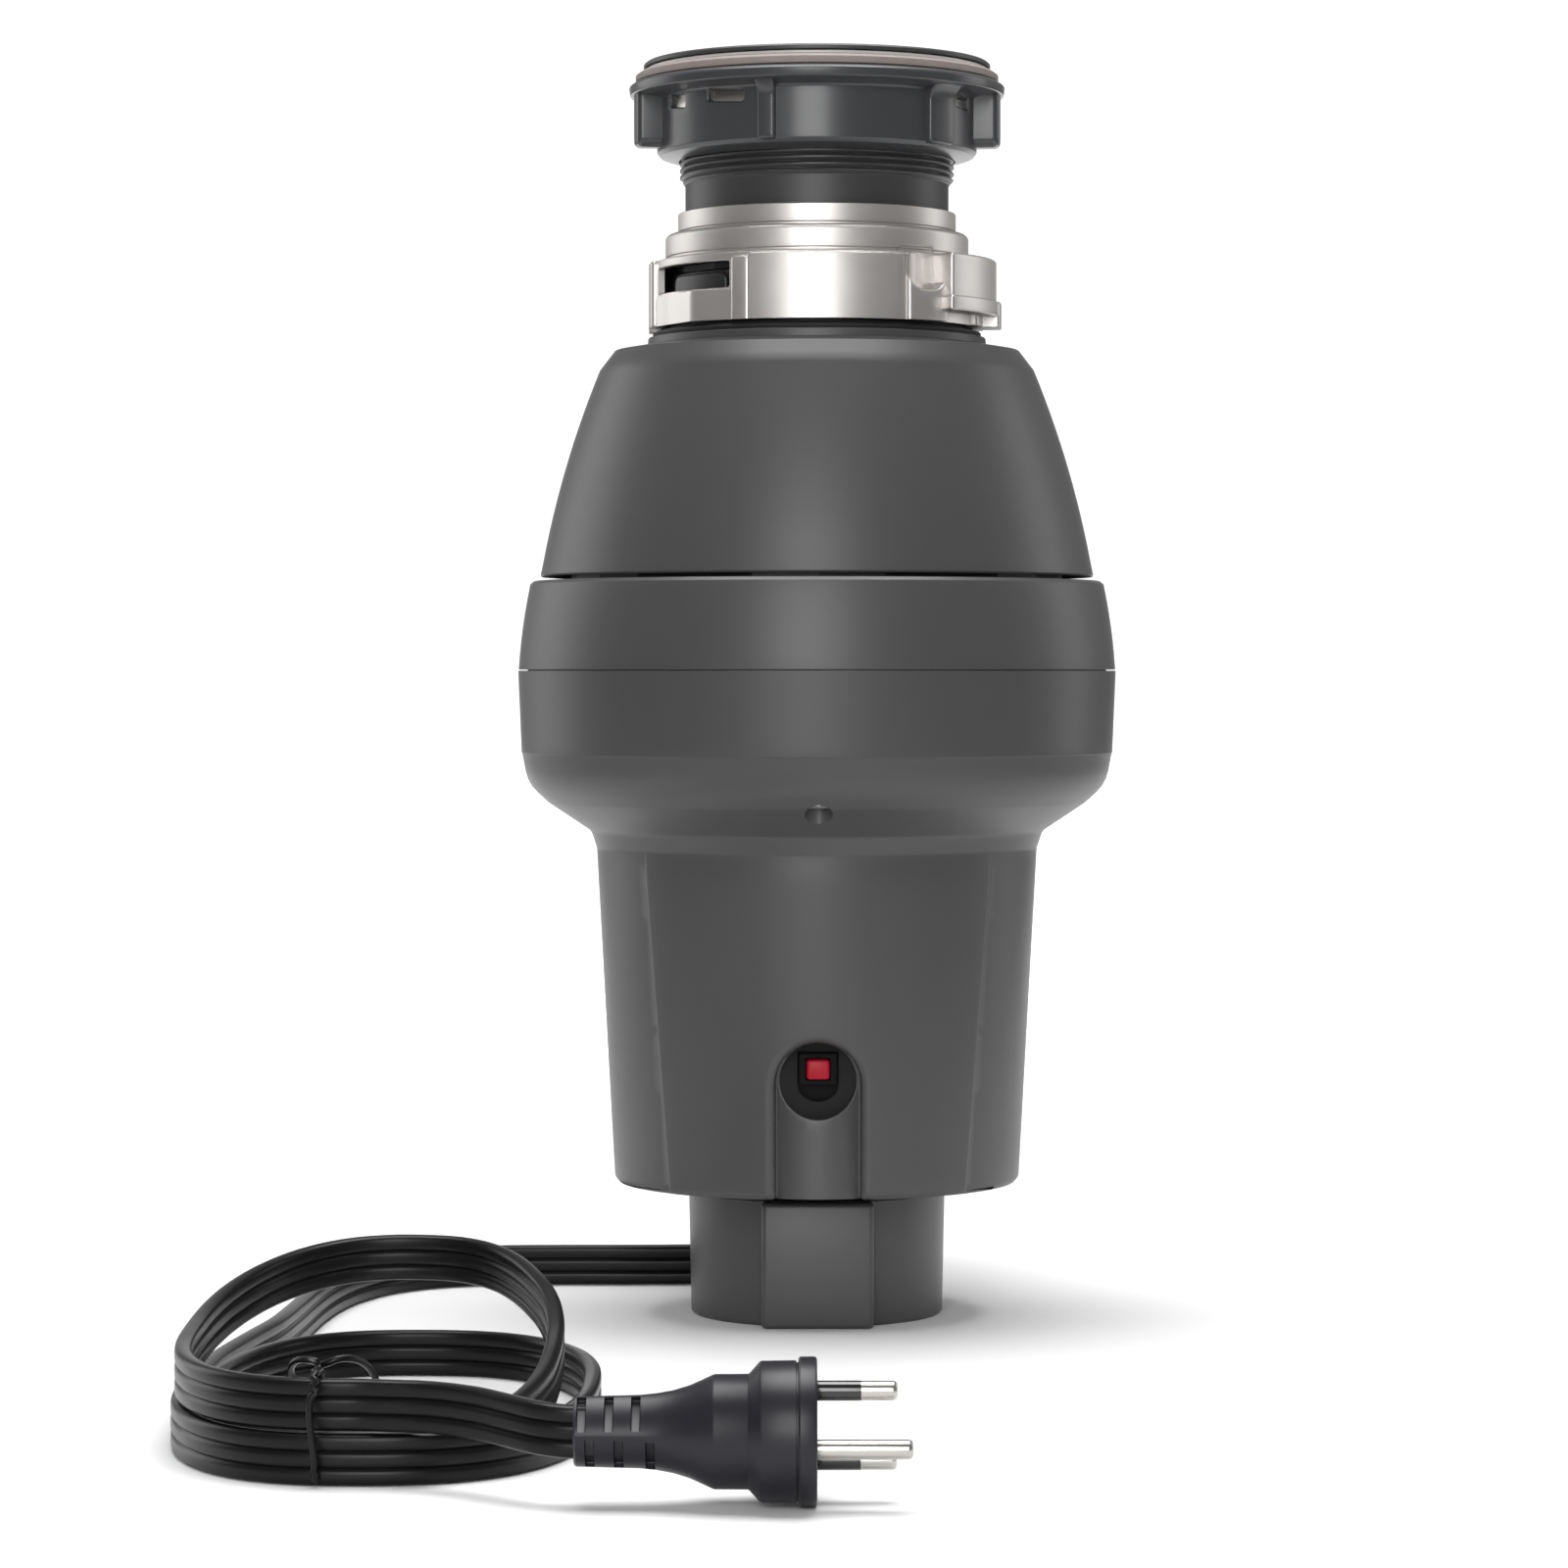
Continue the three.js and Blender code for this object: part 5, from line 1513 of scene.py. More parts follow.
# ------------------------------------------------------------------ the power cord
@dataclass
class PowerCord:
    """The flat three-core cord, its coil, its tie, its strain relief and its plug."""

    width: float = 13.0
    lobe: float = 2.3
    exit_point: Vector = field(default_factory=lambda: Vector((11.98, 38.0, 9.6)))
    exit_degrees: float = 130.0
    coil_centre: Point2 = (-115.3, -236.0)
    coil_half: Point2 = (53.7, 95.0)
    plug_start: Vector = field(default_factory=lambda: Vector((-61.0, -360.0, 18.0)))
    plug_length: float = 58.7

    @property
    def heading(self) -> Vector:
        """The direction in which the cord leaves the boss."""
        return Vector((math.cos(radians(self.exit_degrees)), math.sin(radians(self.exit_degrees)), 0))

    def run(self) -> list[Sequence[float]]:
        """Where the cord lies, from its strain relief to the coil."""
        start = self.exit_point
        first = [tuple(start + self.heading * d) for d in (-4, 6, 22.6)]
        rest = [
            (-7.6, 60.6, 9.2), (-15, 64.4, 8.2), (-26, 66.4, 7), (-42, 66.6, 6.7), (-62, 65.6, 6.7),
            (-84, 65.4, 6.7), (-106, 63.6, 6.7), (-124, 56, 6.7), (-137, 42, 6.7), (-145.5, 22, 6.7),
            (-150.5, 0, 6.7), (-153.4, -26, 6.7), (-155, -54, 6.7), (-156.4, -84, 6.7), (-158.4, -114, 6.7),
            (-162.6, -146, 6.7), (-167, -184, 6.7), (-168.6, -212, 6.65),
        ]
        return first + rest

    def coil(self) -> list[Sequence[float]]:
        """The coil's two and a quarter laps, the last one lying on the first."""
        laps = np.linspace(0.25, 2.5, 190)
        inset_at = (0.25, 1.0, 1.2, 1.5, 1.75, 1.85, 2.03, 2.25, 2.5)
        inset = (0, 0, 5.4, 5.4, 9.9, 9.9, 0, 1, 1)
        out: list[Sequence[float]] = []
        for lap in laps:
            k = max(i for i, a in enumerate(inset_at) if a <= lap + 1e-9)
            k = min(k, len(inset_at) - 2)
            t = (lap - inset_at[k]) / (inset_at[k + 1] - inset_at[k])
            t = t * t * (3 - 2 * t)
            off = inset[k] + (inset[k + 1] - inset[k]) * t
            climb = min(1.0, max(0.0, (lap - 1.5) / 0.36))
            lift = max(0.0, 1 - abs(lap - 2.0) / 0.3)
            z = 6.6 + 13.4 * climb * climb * (3 - 2 * climb) + 14 * lift * lift * (3 - 2 * lift)
            a = radians(90 + 360 * lap)
            c, s = math.cos(a), math.sin(a)
            x = self.coil_centre[0] + (self.coil_half[0] - off) * math.copysign(abs(c) ** 0.8, c)
            y = self.coil_centre[1] + (self.coil_half[1] - off) * math.copysign(abs(s) ** 0.8, s)
            out.append((x, y, z))
        return out

    def lead(self) -> list[Sequence[float]]:
        """From the coil into the plug."""
        return [
            (-110, -331.2, 20), (-98, -334, 20), (-86, -342, 19.8), (-77, -351, 19.2),
            (-69, -358, 18.5), (-62.2, -360, 18), (-56, -360, 18),
        ]

    def section(self) -> np.ndarray:
        """Three round cores side by side, with shallow grooves between them."""
        reach = self.width / 2 - self.lobe
        cores = (-reach, 0.0, reach)
        edge = [self.lobe * (1 - math.cos(math.pi / 2 * i / 5)) for i in range(5)]
        rise = [-self.width / 2 + e for e in edge]
        heights = rise + [-reach + 2 * reach * i / 24 for i in range(25)] + [-h for h in reversed(rise)]
        near: list[Point2] = []
        for h in heights:
            near_core = min(abs(h - c) for c in cores) / self.lobe
            half = self.lobe * math.sqrt(max(1 - near_core**4, 0))
            half = max(half, 1.55) if abs(h) < reach else half
            near.append((half, h))
        far = [(-half, h) for half, h in reversed(near[1:-1])]
        return np.array(near + far)

    def build(self) -> None:
        """Makes the cord and all that sits on it."""
        coil = self.coil()
        seen = [coil[0]]
        for p in coil[1:]:
            if np.linalg.norm(np.array(p) - np.array(seen[-1])) > 6:
                seen.append(p)
        path = curve_through(self.run() + seen + self.lead(), 3.6)
        cord = swept("power_cord", path, self.section(), CORD_VINYL)
        settle(cord, "housing", CORD_VINYL, "cord_run", "cord_coil", "cord_lead")
        relief = self.relief()
        plug = self.plug()
        pins = self.pins()
        tie = self.tie()
        length = float(np.sum(np.linalg.norm(np.diff(path, axis=0), axis=1)))
        log.info("cord length %.4f m", length * MM)
        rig.cord(
            cord,
            exit=tuple(self.exit_point * MM),
            length=round(length * MM, 3),
            diameter=self.width * MM,
            far_end="plug",
            stiffness="medium",
            lay="coiled",
            path=[tuple(float(c) * MM for c in p) for p in path],
            with_pieces=[relief, plug, *pins, tie],
        )

    def relief(self) -> bpy.types.Object:
        """The tapered, ribbed sleeve where the cord leaves the boss."""
        across = self.heading.cross(Vector((0, 0, 1)))
        place = Matrix.Translation(self.exit_point) @ Matrix(
            (across, Vector((0, 0, 1)), -self.heading)
        ).transposed().to_4x4()
        flip = Matrix.Scale(-1, 4, Vector((0, 0, 1)))
        profile = [
            (-6, 4.9, 7.8), (-5.6, 5.3, 8.1), (1.7, 5.3, 8.1), (2.1, 6.6, 9.0), (2.5, 6.9, 9.2),
            (4.5, 6.9, 9.2),
            (5.0, 6.6, 9.0), (5.1, 4.5, 7.7),
        ]
        stations = [Station(a, w, h, 4.0) for a, w, h in profile]
        ribs = 5
        for i in range(ribs):
            a = 6.2 + i * 3.1
            t = i / (ribs - 1)
            w, h = 4.5 - 0.75 * t, 7.65 - 0.4 * t
            low_w, low_h = w - 0.75, h - 0.75
            stations += [
                Station(a, low_w, low_h, 4.0), Station(a + 0.25, w - 0.12, h - 0.12, 4.0),
                Station(a + 0.45, w, h, 4.0), Station(a + 1.55, w, h, 4.0),
                Station(a + 1.75, w - 0.12, h - 0.12, 4.0), Station(a + 2.0, low_w, low_h, 4.0),
            ]
        stations += [Station(21.6, 3.5, 7.1, 4.0), Station(22.0, 3.2, 6.9, 4.0)]
        piece = lofted("cord_strain_relief", stations, place @ flip, RUBBER)
        return settle(piece, "housing", RUBBER, "strain_relief")

    def plug(self) -> bpy.types.Object:
        """The moulded plug: slotted relief, flared grip, neck, barrel and face rim."""
        full = [
            Station(0, 7.0, 7.9, 1.5), Station(0.5, 7.6, 8.5, 1.5), Station(16, 8.1, 8.9, 1.55),
            Station(20, 8.6, 9.3, 1.65), Station(24, 9.5, 10.0, 1.8), Station(28, 11.1, 11.2, 1.9),
            Station(31, 12.5, 12.5),
            Station(33.4, 13.6, 13.6), Station(34, 13.8, 13.8), Station(42.0, 13.85, 13.85),
            Station(42.3, 14.0, 14.0),
            Station(44.8, 16.75, 16.75), Station(45.3, 17.0, 17.0), Station(53.6, 17.1, 17.1),
            Station(53.7, 16.6, 16.6), Station(54.1, 16.6, 16.6), Station(54.2, 17.6, 17.6),
            Station(54.6, 18.0, 18.0),
            Station(self.plug_length - 0.7, 18.0, 18.0), Station(self.plug_length - 0.2, 17.8, 17.8),
            Station(self.plug_length, 17.3, 17.3),
        ]
        unrolled = Matrix.Translation(self.plug_start) @ Matrix(((0, 0, 1), (1, 0, 0), (0, 1, 0))).to_4x4()
        piece = lofted("power_plug", full, unrolled, PLUG_VINYL, 120)
        cutters: list[bpy.types.Object] = []
        for sign in (-1, 1):
            for up, cuts in ((1, (0.8, 7.4, 13.9)), (-1, (2.8, 9.8, 17.4))):
                tilt = Matrix.Rotation(math.atan2(up * 5.2, sign * 4.7), 4, "Z")
                for along in cuts:
                    at = unrolled @ Matrix.Translation((sign * 4.7, up * 5.2, along + 1.15)) @ tilt
                    box = [(-1.5, -5.0), (3.5, -5.0), (3.5, 5.0), (-1.5, 5.0)]
                    cutters.append(prism("slot", box, -1.15, 1.15, PLUG_VINYL, at, 0.3))
        carve(piece, cutters, PLUG_VINYL)
        return settle(piece, "housing", PLUG_VINYL, "plug_body")

    def pins(self) -> list[bpy.types.Object]:
        """Three round pins; the line pin has an insulating sleeve."""
        made: list[bpy.types.Object] = []
        low = self.plug_start.x + 52.7
        face = self.plug_start.x + self.plug_length
        places = {
            "plug_pin_line": (-0.43, 9.95, 19.4, 10.6),
            "plug_pin_neutral": (6.07, -7.90, 19.4, 10.6),
            "plug_pin_earth": (-8.36, -3.04, 23.0, 0.0),
        }
        names = [n for n in frame["nodes"] if n.startswith("plug_pin")]
        for name, (y, z, out, sleeve) in places.items():
            start = (low, self.plug_start.y + y, self.plug_start.z + z)
            end = (face + out, start[1], start[2])
            node = nearest_node(names, ((start[0] + end[0]) / 2, start[1], start[2]))
            parts = [rod(name + "_metal", start, end, 2.4, BRIGHT_PIN, 1.5)]
            if sleeve:
                cover = (face - 1.0, start[1], start[2])
                stop = (face + sleeve, start[1], start[2])
                parts.append(rod(name + "_sleeve", cover, stop, 2.46, PIN_SLEEVE, 0.05))
            piece = merged(name + "_visual", parts)
            made.append(settle(piece, "housing", BRIGHT_PIN, node))
        return made

    def tie(self) -> bpy.types.Object:
        """The wire tie round the coil's front side, its ends twisted and curled."""
        x = -126.0
        loop = rounded([(-336.0, 1.2, 6), (-316.9, 1.2, 6), (-316.9, 28.6, 6), (-336.0, 28.6, 6)])
        ring = [(x + 0.9 * math.sin(3 * i), y, z) for i, (y, z) in enumerate(loop)]
        start = ring.index(min(ring, key=lambda p: (p[1] + 326) ** 2 + (p[2] - 28.6) ** 2))
        order = ring[start:] + ring[:start]
        front = [(p[0], p[1], max(p[2], 1.2)) for p in order]
        closed = front + [(x + 1.9, front[0][1] + 0.2, front[0][2] + 0.6)]
        curl = [
            (x + 5, -322.5, 30.3), (x + 9, -319.0, 29.6), (x + 12, -313.5, 26.5),
            (x + 13.2, -309.5, 22.0), (x + 12, -308, 17.5), (x + 8.4, -309.2, 15.0),
        ]
        path = curve_through(closed + curl, 1.1)
        back = [(x - 1.8, -322.0, 29.8), (x - 5.6, -318.4, 29.4), (x - 8, -313, 26.4), (x - 7.2, -309, 22.6)]
        other = curve_through([(x - 0.2, -325.8, 29.9), *back], 1.1)
        parts = [tube("tie_wire", path, 0.9, CORD_VINYL, 12), tube("tie_end", other, 0.9, CORD_VINYL, 12)]
        return settle(merged("wire_tie", parts), "housing", CORD_VINYL, "twist_tie")


def nearest_node(names: Sequence[str], point: Sequence[float]) -> str:
    """The node whose box has its centre nearest a point.

    Args:
        names: the nodes to choose from.
        point: the point in millimetres.

    Returns:
        The nearest node's name.
    """
    goal = Vector(point)
    return min(names, key=lambda n: (span(n).middle - goal).length)


# ------------------------------------------------------------------ what clamps the sink
def arc_block(
    name: str,
    r0: float, r1: float,
    a0: float, a1: float,
    z0: float, z1: float,
    finish: Finish,
    bevel: float = 0.4,
) -> bpy.types.Object:
    """A bevelled block bent round the axis between two radii, two angles and two heights."""
    steps = max(2, int(math.ceil(abs(a1 - a0) / 3)))
    angles = [a0 + (a1 - a0) * i / steps for i in range(steps + 1)]
    outline = [around(r1, a) for a in angles] + [around(r0, a) for a in reversed(angles)]
    return prism(name, outline, z0, z1, finish, None, bevel, 2)


@dataclass
class SinkTube:
    """The flange that hangs in the sink's hole, with its thread, washer, gasket and nut."""

    pitch: float = 2.1
    crest: float = 42.9
    root: float = 41.75
    thread_low: float = 353.4
    thread_high: float = 388.6

    def build(self) -> None:
        """Makes the four clamp pieces."""
        self.flange()
        washer = turned(
            "fibre_backup_washer",
            [(43.3, 384.8), (56.7, 384.8, 0.3), (56.7, 386.9, 0.15), (55.6, 387.7, 0.15), (43.3, 387.7)],
            FIBRE,
        )
        settle(washer, "washer", FIBRE, "backup_washer")
        ring = [(43.3, 388), (53.6, 388, 0.3), (53.6, 389, 0.3), (43.3, 389)]
        gasket = turned("rubber_flange_gasket", ring, SEAL)
        settle(gasket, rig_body("flange_gasket"), SEAL, "flange_gasket")
        self.nut()

    def flange(self) -> None:
        """The flange and its tube, with a real helical thread."""
        plain = rounded(
            [
                (38.6, 327), (45.6, 327, 0.3), (45.6, 329, 0.3), (41.2, 329, 0.3), (41.2, 353.0, 0.4),
                (self.root, 353.4, 0.2), (self.root, 353.6),
            ],
            False,
        )
        top = rounded(
            [
                (self.root, 388.5), (self.root, 389.3), (54.2, 389.3, 0.25), (54.2, 390.4, 0.5),
                (53.4, 391, 0.5),
                (43.6, 391, 2.0), (38.6, 383, 1.0), (38.6, 327),
            ],
            False,
        )[:-1]
        rows = [(r, z, 0.0) for r, z in plain]
        count = int((self.thread_high - self.thread_low) / 0.21)
        for i in range(1, count):
            z = self.thread_low + 0.3 + (self.thread_high - self.thread_low - 0.4) * i / count
            fade = min(1.0, (z - self.thread_low) / 1.4, (self.thread_high - z) / 1.4)
            rows.append((self.root, z, max(0.0, fade)))
        rows += [(r, z, 0.0) for r, z in top]
        steps = 144
        points: list[tuple[float, float, float]] = []
        for r, z, share in rows:
            for j in range(steps):
                a = 2 * math.pi * j / steps
                phase = (z / self.pitch - j / steps) % 1.0
                ridge = min(1.0, max(0.0, (0.5 - abs(phase - 0.5)) * 3.0 - 0.12))
                radius = r + (self.crest - self.root) * share * ridge
                points.append((radius * math.sin(a), -radius * math.cos(a), z))
        faces = ring_faces(len(rows), steps)
        piece = make_mesh("sink_flange_tube", np.array(points), faces, TUBE_MOULDING)
        settle(piece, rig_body("sink_flange"), TUBE_MOULDING, "sink_flange")

    def nut(self) -> None:
        """The mounting nut: cone, wall, rim bead, grip ears, ribs and slots."""
        outer = rounded(
            [
                (43.9, 360.4), (48.9, 361.9, 0.4), (50.0, 363.2, 0.5), (50.0, 379.6, 1.4), (58.4, 380.7, 0.7),
                (58.8, 383.4, 0.9), (57.0, 384.5, 0.6), (50.0, 384.5),
            ],
            False,
        )
        wall = Wall("mounting_nut_body", outer, [(43.3, 360.4),
        (43.3, 384.5)], NUT_MOULDING, 50.0, 110.0, 2.4)
        low, high = 374.5, 379.0

        def flared(_: np.ndarray, z: np.ndarray) -> np.ndarray:
            """Ribs follow the rim outwards near the top."""
            return 52.3 + 4.6 * np.clip((z - 375.8) / 5.5, 0, 1) ** 2

        def sunk(_: np.ndarray, z: np.ndarray) -> np.ndarray:
            """The slots' floors lean inwards towards the top."""
            return 48.7 - 0.75 * np.clip((z - low) / (high - low), 0, 1)

        for a, half in ((-17.8, 3.2), (47.5, 6.4), (130.0, 3.2), (-130.0, 3.2)):
            outline = wall.patch(a - half, a + half, 362.6, 380.9, 1.3)
            wall.reliefs.append(Relief(Kind.PAD, outline, flared, 1.1))
        for a, half in ((-34.6, 6.6), (-60.0, 4.6), (64.0, 4.6), (100.0, 4.6), (150.0, 4.6), (-140.0, 4.6)):
            u = wall.arc(a)
            left, right = u - half, u + half
            shape = [(left, low + 0.9, 0.8), (right, low, 0.8), (right, high - 0.9, 0.8), (left, high, 0.8)]
            wall.reliefs.append(Relief(Kind.POCKET, tuple(rounded(shape)), sunk, 0.7))
        body = wall.build()
        ears = []
        upright = Matrix(((1, 0, 0, 0), (0, 0, -1, 0), (0, 1, 0, 0), (0, 0, 0, 1)))
        for a in (-80.0, 82.0, 180.0):
            place = Matrix.Rotation(radians(a), 4, "Z") @ upright
            outline = rounded([(-5, 364.0, 3.0), (5, 364.0, 3.0), (5, 382.6, 2.5), (-5, 382.6, 2.5)])
            ears.append(prism("ear", outline, 47.0, 57.4, NUT_MOULDING, place, 1.9, 5))
        carve(body, ears, NUT_MOULDING, "UNION")
        self.paint_slot_light(body)
        settle(body, "nut", NUT_MOULDING, "mounting_nut")

    def paint_slot_light(self, body: bpy.types.Object) -> None:
        """Gives the floors of the nut's slots the bright pin metal, a painted highlight in the slots."""
        # Painted light: bright metal on the slot floors stands in for light that shows through the nut's slots.
        body.data.materials.append(BRIGHT_PIN.material())
        for face in body.data.polygons:
            x, y, z = (c / MM for c in face.center)
            radius = math.hypot(x, y)
            outwards = (face.normal.x * x + face.normal.y * y) / max(radius, 1e-6)
            if 47.0 < radius < 49.0 and 374.4 < z < 379.1 and outwards > 0.6:
                face.material_index = 1


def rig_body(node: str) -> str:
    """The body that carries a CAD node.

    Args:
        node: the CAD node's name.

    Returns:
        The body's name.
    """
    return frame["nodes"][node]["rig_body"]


# ------------------------------------------------------------------ the bayonet joint
@dataclass
class Bayonet:
    """The nickel collar, the support ring with its lugs, and the rubber cushion."""

    reference: float = 50.0

    def build(self) -> None:
        """Makes the three pieces."""
        self.collar()
        self.support()
        cushion = turned(
            "rubber_cushion",
            [(45.8, 304.1), (50.6, 304.1, 0.3), (51.6, 307.0, 0.6), (48.6, 307.2, 0.4),
             (48.4, 308.0, 0.3), (45.8, 308.0)],
            RUBBER,
        )
        settle(cushion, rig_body("cushion_ring"), RUBBER, "cushion_ring")

    def _half(self, wall: Wall, turn: float, block_end: float) -> list[Relief]:
        """One half turn of the collar's castings.

        Args:
            wall: the collar's wall.
            turn: 0 for the front half, 180 for the back.
            block_end: where the striking block stops, in degrees.

        Returns:
            The reliefs, from the deepest to the proudest.
        """
        def patch(
            a0: float, a1: float, z0: float, z1: float, corner: float | Sequence[float]
        ) -> tuple[Point2, ...]:
            """A four-cornered area of this half."""
            return wall.patch(a0 + turn, a1 + turn, z0, z1, corner)

        def chord(a0: float, r0: float, a1: float, r1: float, at: np.ndarray) -> np.ndarray:
            """The radius of a flat facet between two corners."""
            first, last = radians(a0), radians(a1)
            return r0 * r1 * math.sin(last - first) / (r0 * np.sin(at - first) + r1 * np.sin(last - at))

        def creased(u: np.ndarray, _: np.ndarray) -> np.ndarray:
            """The ledge under the window: two flat facets that meet in a ridge."""
            at = u / wall.reference - radians(turn)
            left = chord(-77, 51.6, -47.6, 52.7, np.minimum(at, radians(-47.6)))
            right = chord(-47.6, 52.7, -30, 51.3, np.maximum(at, radians(-47.6)))
            return np.where(at < radians(-47.6), left, right)

        def scooped(u: np.ndarray, _: np.ndarray) -> np.ndarray:
            """The scoop deepens smoothly away from the panel."""
            t = np.clip((np.degrees(u / wall.reference) - turn - 31.5) / 11.0, 0, 1)
            return 52.0 - 3.2 * t * t * (3 - 2 * t)

        return [
            Relief(Kind.PAD, patch(-24.7, 36.5, 305, 328.6, 1.2), 51.9, 0.7),
            Relief(Kind.PAD, patch(-77, -30, 305, 318.0, (1.0, 1.0, 1.0, 1.2)), creased, 0.55),
            Relief(Kind.PAD, patch(-31.2, -23.8, 305, 328.0, 1.6), 51.9, 1.3),
            Relief(Kind.PAD, patch(31.3, 49.0, 305, 328.6, 1.6), 53.3, 1.1),
            Relief(Kind.POCKET, patch(31.0, 48.2, 317.6, 331.0, (7.5, 6.0, 1.6, 1.6)), scooped, 0.7),
            Relief(Kind.PAD, patch(47.0, block_end, 315.6, 329.3, 1.0), 56.2, 0.9),
            Relief(Kind.PAD, patch(45.5, block_end, 311.4, 316.3, 1.0), 57.5, 0.8),
            Relief(Kind.PAD, patch(block_end - 17, block_end, 307.0, 316.4, 1.3), 57.8, 0.8),
            Relief(Kind.PAD, patch(-110, -77.3, 307.4, 329.0, 1.6), 52.7, 1.2),
            Relief(Kind.WINDOW, patch(-76.8, -32.2, 318.3, 326.4, (0.8, 0.8, 0.8, 0.8)), soft=0.35),
        ]

    def collar(self) -> None:
        """The die-cast collar."""
        outer = rounded(
            [
                (50.6, 308.4), (50.6, 328.9, 0.5), (47.6, 329.6), (46.9, 329.7), (46.9, 330.2),
                (47.45, 330.5, 0.2),
                (47.45, 337.5, 2.9), (43.7, 337.55), (43.0, 337.6), (43.0, 338.2), (43.5, 338.5, 0.2),
                (43.5, 343.9, 0.35), (42.9, 344.1),
            ],
            False,
        )
        inner = [(48.7, 308.4), (48.7, 327.4), (47.0, 327.42), (45.6, 329.4), (41.6, 329.42), (41.6, 344.1)]
        wall = Wall("bayonet_collar_body", outer, inner, NICKEL, self.reference, 120.0, 2.0)
        wall.reliefs = self._half(wall, 0.0, 95.0) + self._half(wall, 180.0, 68.0)
        body = wall.build()
        ledge = arc_block("ledge", 45.75, 48.9, 22, 66, 310.9, 313.3, NICKEL, 0.2)
        ledges = Repeat(2).apply(ledge, NICKEL)
        piece = merged("bayonet_collar", [body, ledges], NICKEL)
        settle(piece, "collar", NICKEL, "swivel_collar")

    def support(self) -> None:
        """The support ring under the collar, with two bayonet lugs."""
        outer = rounded([(45.5, 304.1), (45.5, 324.4, 0.6), (42, 324.4)], False)
        wall = Wall("support_ring_body", outer, [(40.2, 304.1),
        (40.2, 324.4)], BLACK_MOULDING, 46.0, 30.0, 3.2)
        for a in (-53.5, 126.5):
            outline = wall.patch(a - 17, a + 17, 313.6, 323.6, 3.0)
            wall.reliefs.append(Relief(Kind.PAD, outline, 46.95, 0.9))
        settle(wall.build(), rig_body("support_ring"), BLACK_MOULDING, "support_ring")


# ------------------------------------------------------------------ the casing
@dataclass
class Casing:
    """The three grey mouldings, their screws and the boss below."""

    channel_half: float = 12.9
    channel_top: float = 89.5
    floor_y: float = -58.0
    liner_y: float = -55.4
    screw_ring: float = 81.5
    spigot_degrees: float = -145.0
    window_z: float = 77.4
    window_r: float = 11.6

    def build(self) -> None:
        """Makes the casing's pieces."""
        self.upper()
        band = [(84, 229.4), (84, 226.8), (87.2, 226.8), (88.2, 203.5), (88.2, 198.6, 0.3),
        (90.4, 198.6, 0.3)]
        band += [(90.6, 201.75), (93.45, 201.75, 0.2)]
        band += bulge((93.4, 202.2), (89.8, 228.2), 0.5, 6)[1:-1]
        band += [(89.8, 228.4, 0.3), (88.6, 229.4, 0.2)]
        settle(turned("middle_band", band, HOUSING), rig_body("mid_band"), HOUSING, "mid_band")
        self.lower()
        self.screws()
        self.boss()

    def upper(self) -> None:
        """The domed upper shell with the side inlet's hole."""
        outer = [(86.2, 230.75), (86.55, 231.3)]
        outer += bulge((86.4, 231.6), (68, 295.1), 1.8, 14)[1:]
        outer += rounded([(68, 295.1), (63.2, 301.4, 3), (60.6, 303.8, 0.6), (48, 303.8)], False)[1:]
        inner = [(83.8, 230.75)] + bulge((83.8, 231.6), (65.6, 294.0), 1.8, 8)
        inner += [(61.0, 299.9), (59.7, 301.2), (48, 301.2)]
        wall = Wall("upper_shell_body", outer, inner, HOUSING, 76.0, 60.0, 4.0)
        u = wall.arc(self.spigot_degrees)
        hole = tuple(
            (u + 11.8 * math.cos(a) * 76 / 80.3, 262 + 11.8 * math.sin(a))
            for a in np.linspace(0, 2 * math.pi, 48, endpoint=False)
        )
        wall.reliefs.append(Relief(Kind.WINDOW, hole, soft=0.7))
        piece = wall.build()
        lip = turned("lip", [(51.0, 303.0), (53.0, 303.0), (52.8, 305.3, 0.3), (51.2, 305.4, 0.2)], HOUSING)
        carve(piece, [lip], HOUSING, "UNION")
        settle(piece, "housing", HOUSING, "upper_shell")

    def arch(self, half: float, top: float, low: float) -> tuple[Point2, ...]:
        """A slot with a round top."""
        points = [(-half, low), (half, low)]
        points += [(half * math.cos(a), top - half + half * math.sin(a)) for a in np.linspace(0, math.pi, 30)]
        return tuple(points)

    def lower(self) -> None:
        """The tapered lower shell with its reset channel, outlet and screw holes."""
        outer = rounded(
            [
                (35, 39), (59.6, 39, 0.8), (63.4, 43, 2.5), (66.1, 92), (69, 146, 3.5), (70.8, 151.4, 3.0),
                (84.0, 160.2, 4.0), (90.6, 166.2, 12.0), (92.35, 175.7, 0.1), (92.55, 175.8, 0.1),
                (93.6, 201.45, 0.2), (93.2, 201.47),
            ],
            False,
        )
        inner = [
            (35, 41.6), (59, 41.62), (60.8, 43.6), (66.4, 149), (82.4, 162.4), (89, 173), (91, 201.0),
            (91.05, 201.47),
        ]
        wall = Wall("lower_shell_body", outer, inner, HOUSING, 78.0, 60.0, 3.2)
        crease = ((-44.3, 30), (44.3, 30), (53.3, 150), (-53.3, 150))
        window = round_hole(0, self.window_z, self.window_r)
        opening = [(6.15, 86.05), (-6.15, 86.05)]
        for a in np.linspace(math.pi, 2 * math.pi, 25):
            opening.append((6.15 * math.cos(a), 76.0 + 5.0 * math.sin(a)))

        def fading(_: np.ndarray, z: np.ndarray) -> np.ndarray:
            """The front panel's height, which dies out under the shoulder."""
            t = np.clip((149.0 - z) / 12.0, 0, 1)
            return 0.55 * t * t * (3 - 2 * t)

        def crowned(x: np.ndarray, _: np.ndarray) -> np.ndarray:
            """The channel's floor, proud along its middle."""
            return -self.floor_y + 2.2 - 3.2 * (x / self.channel_half) ** 2

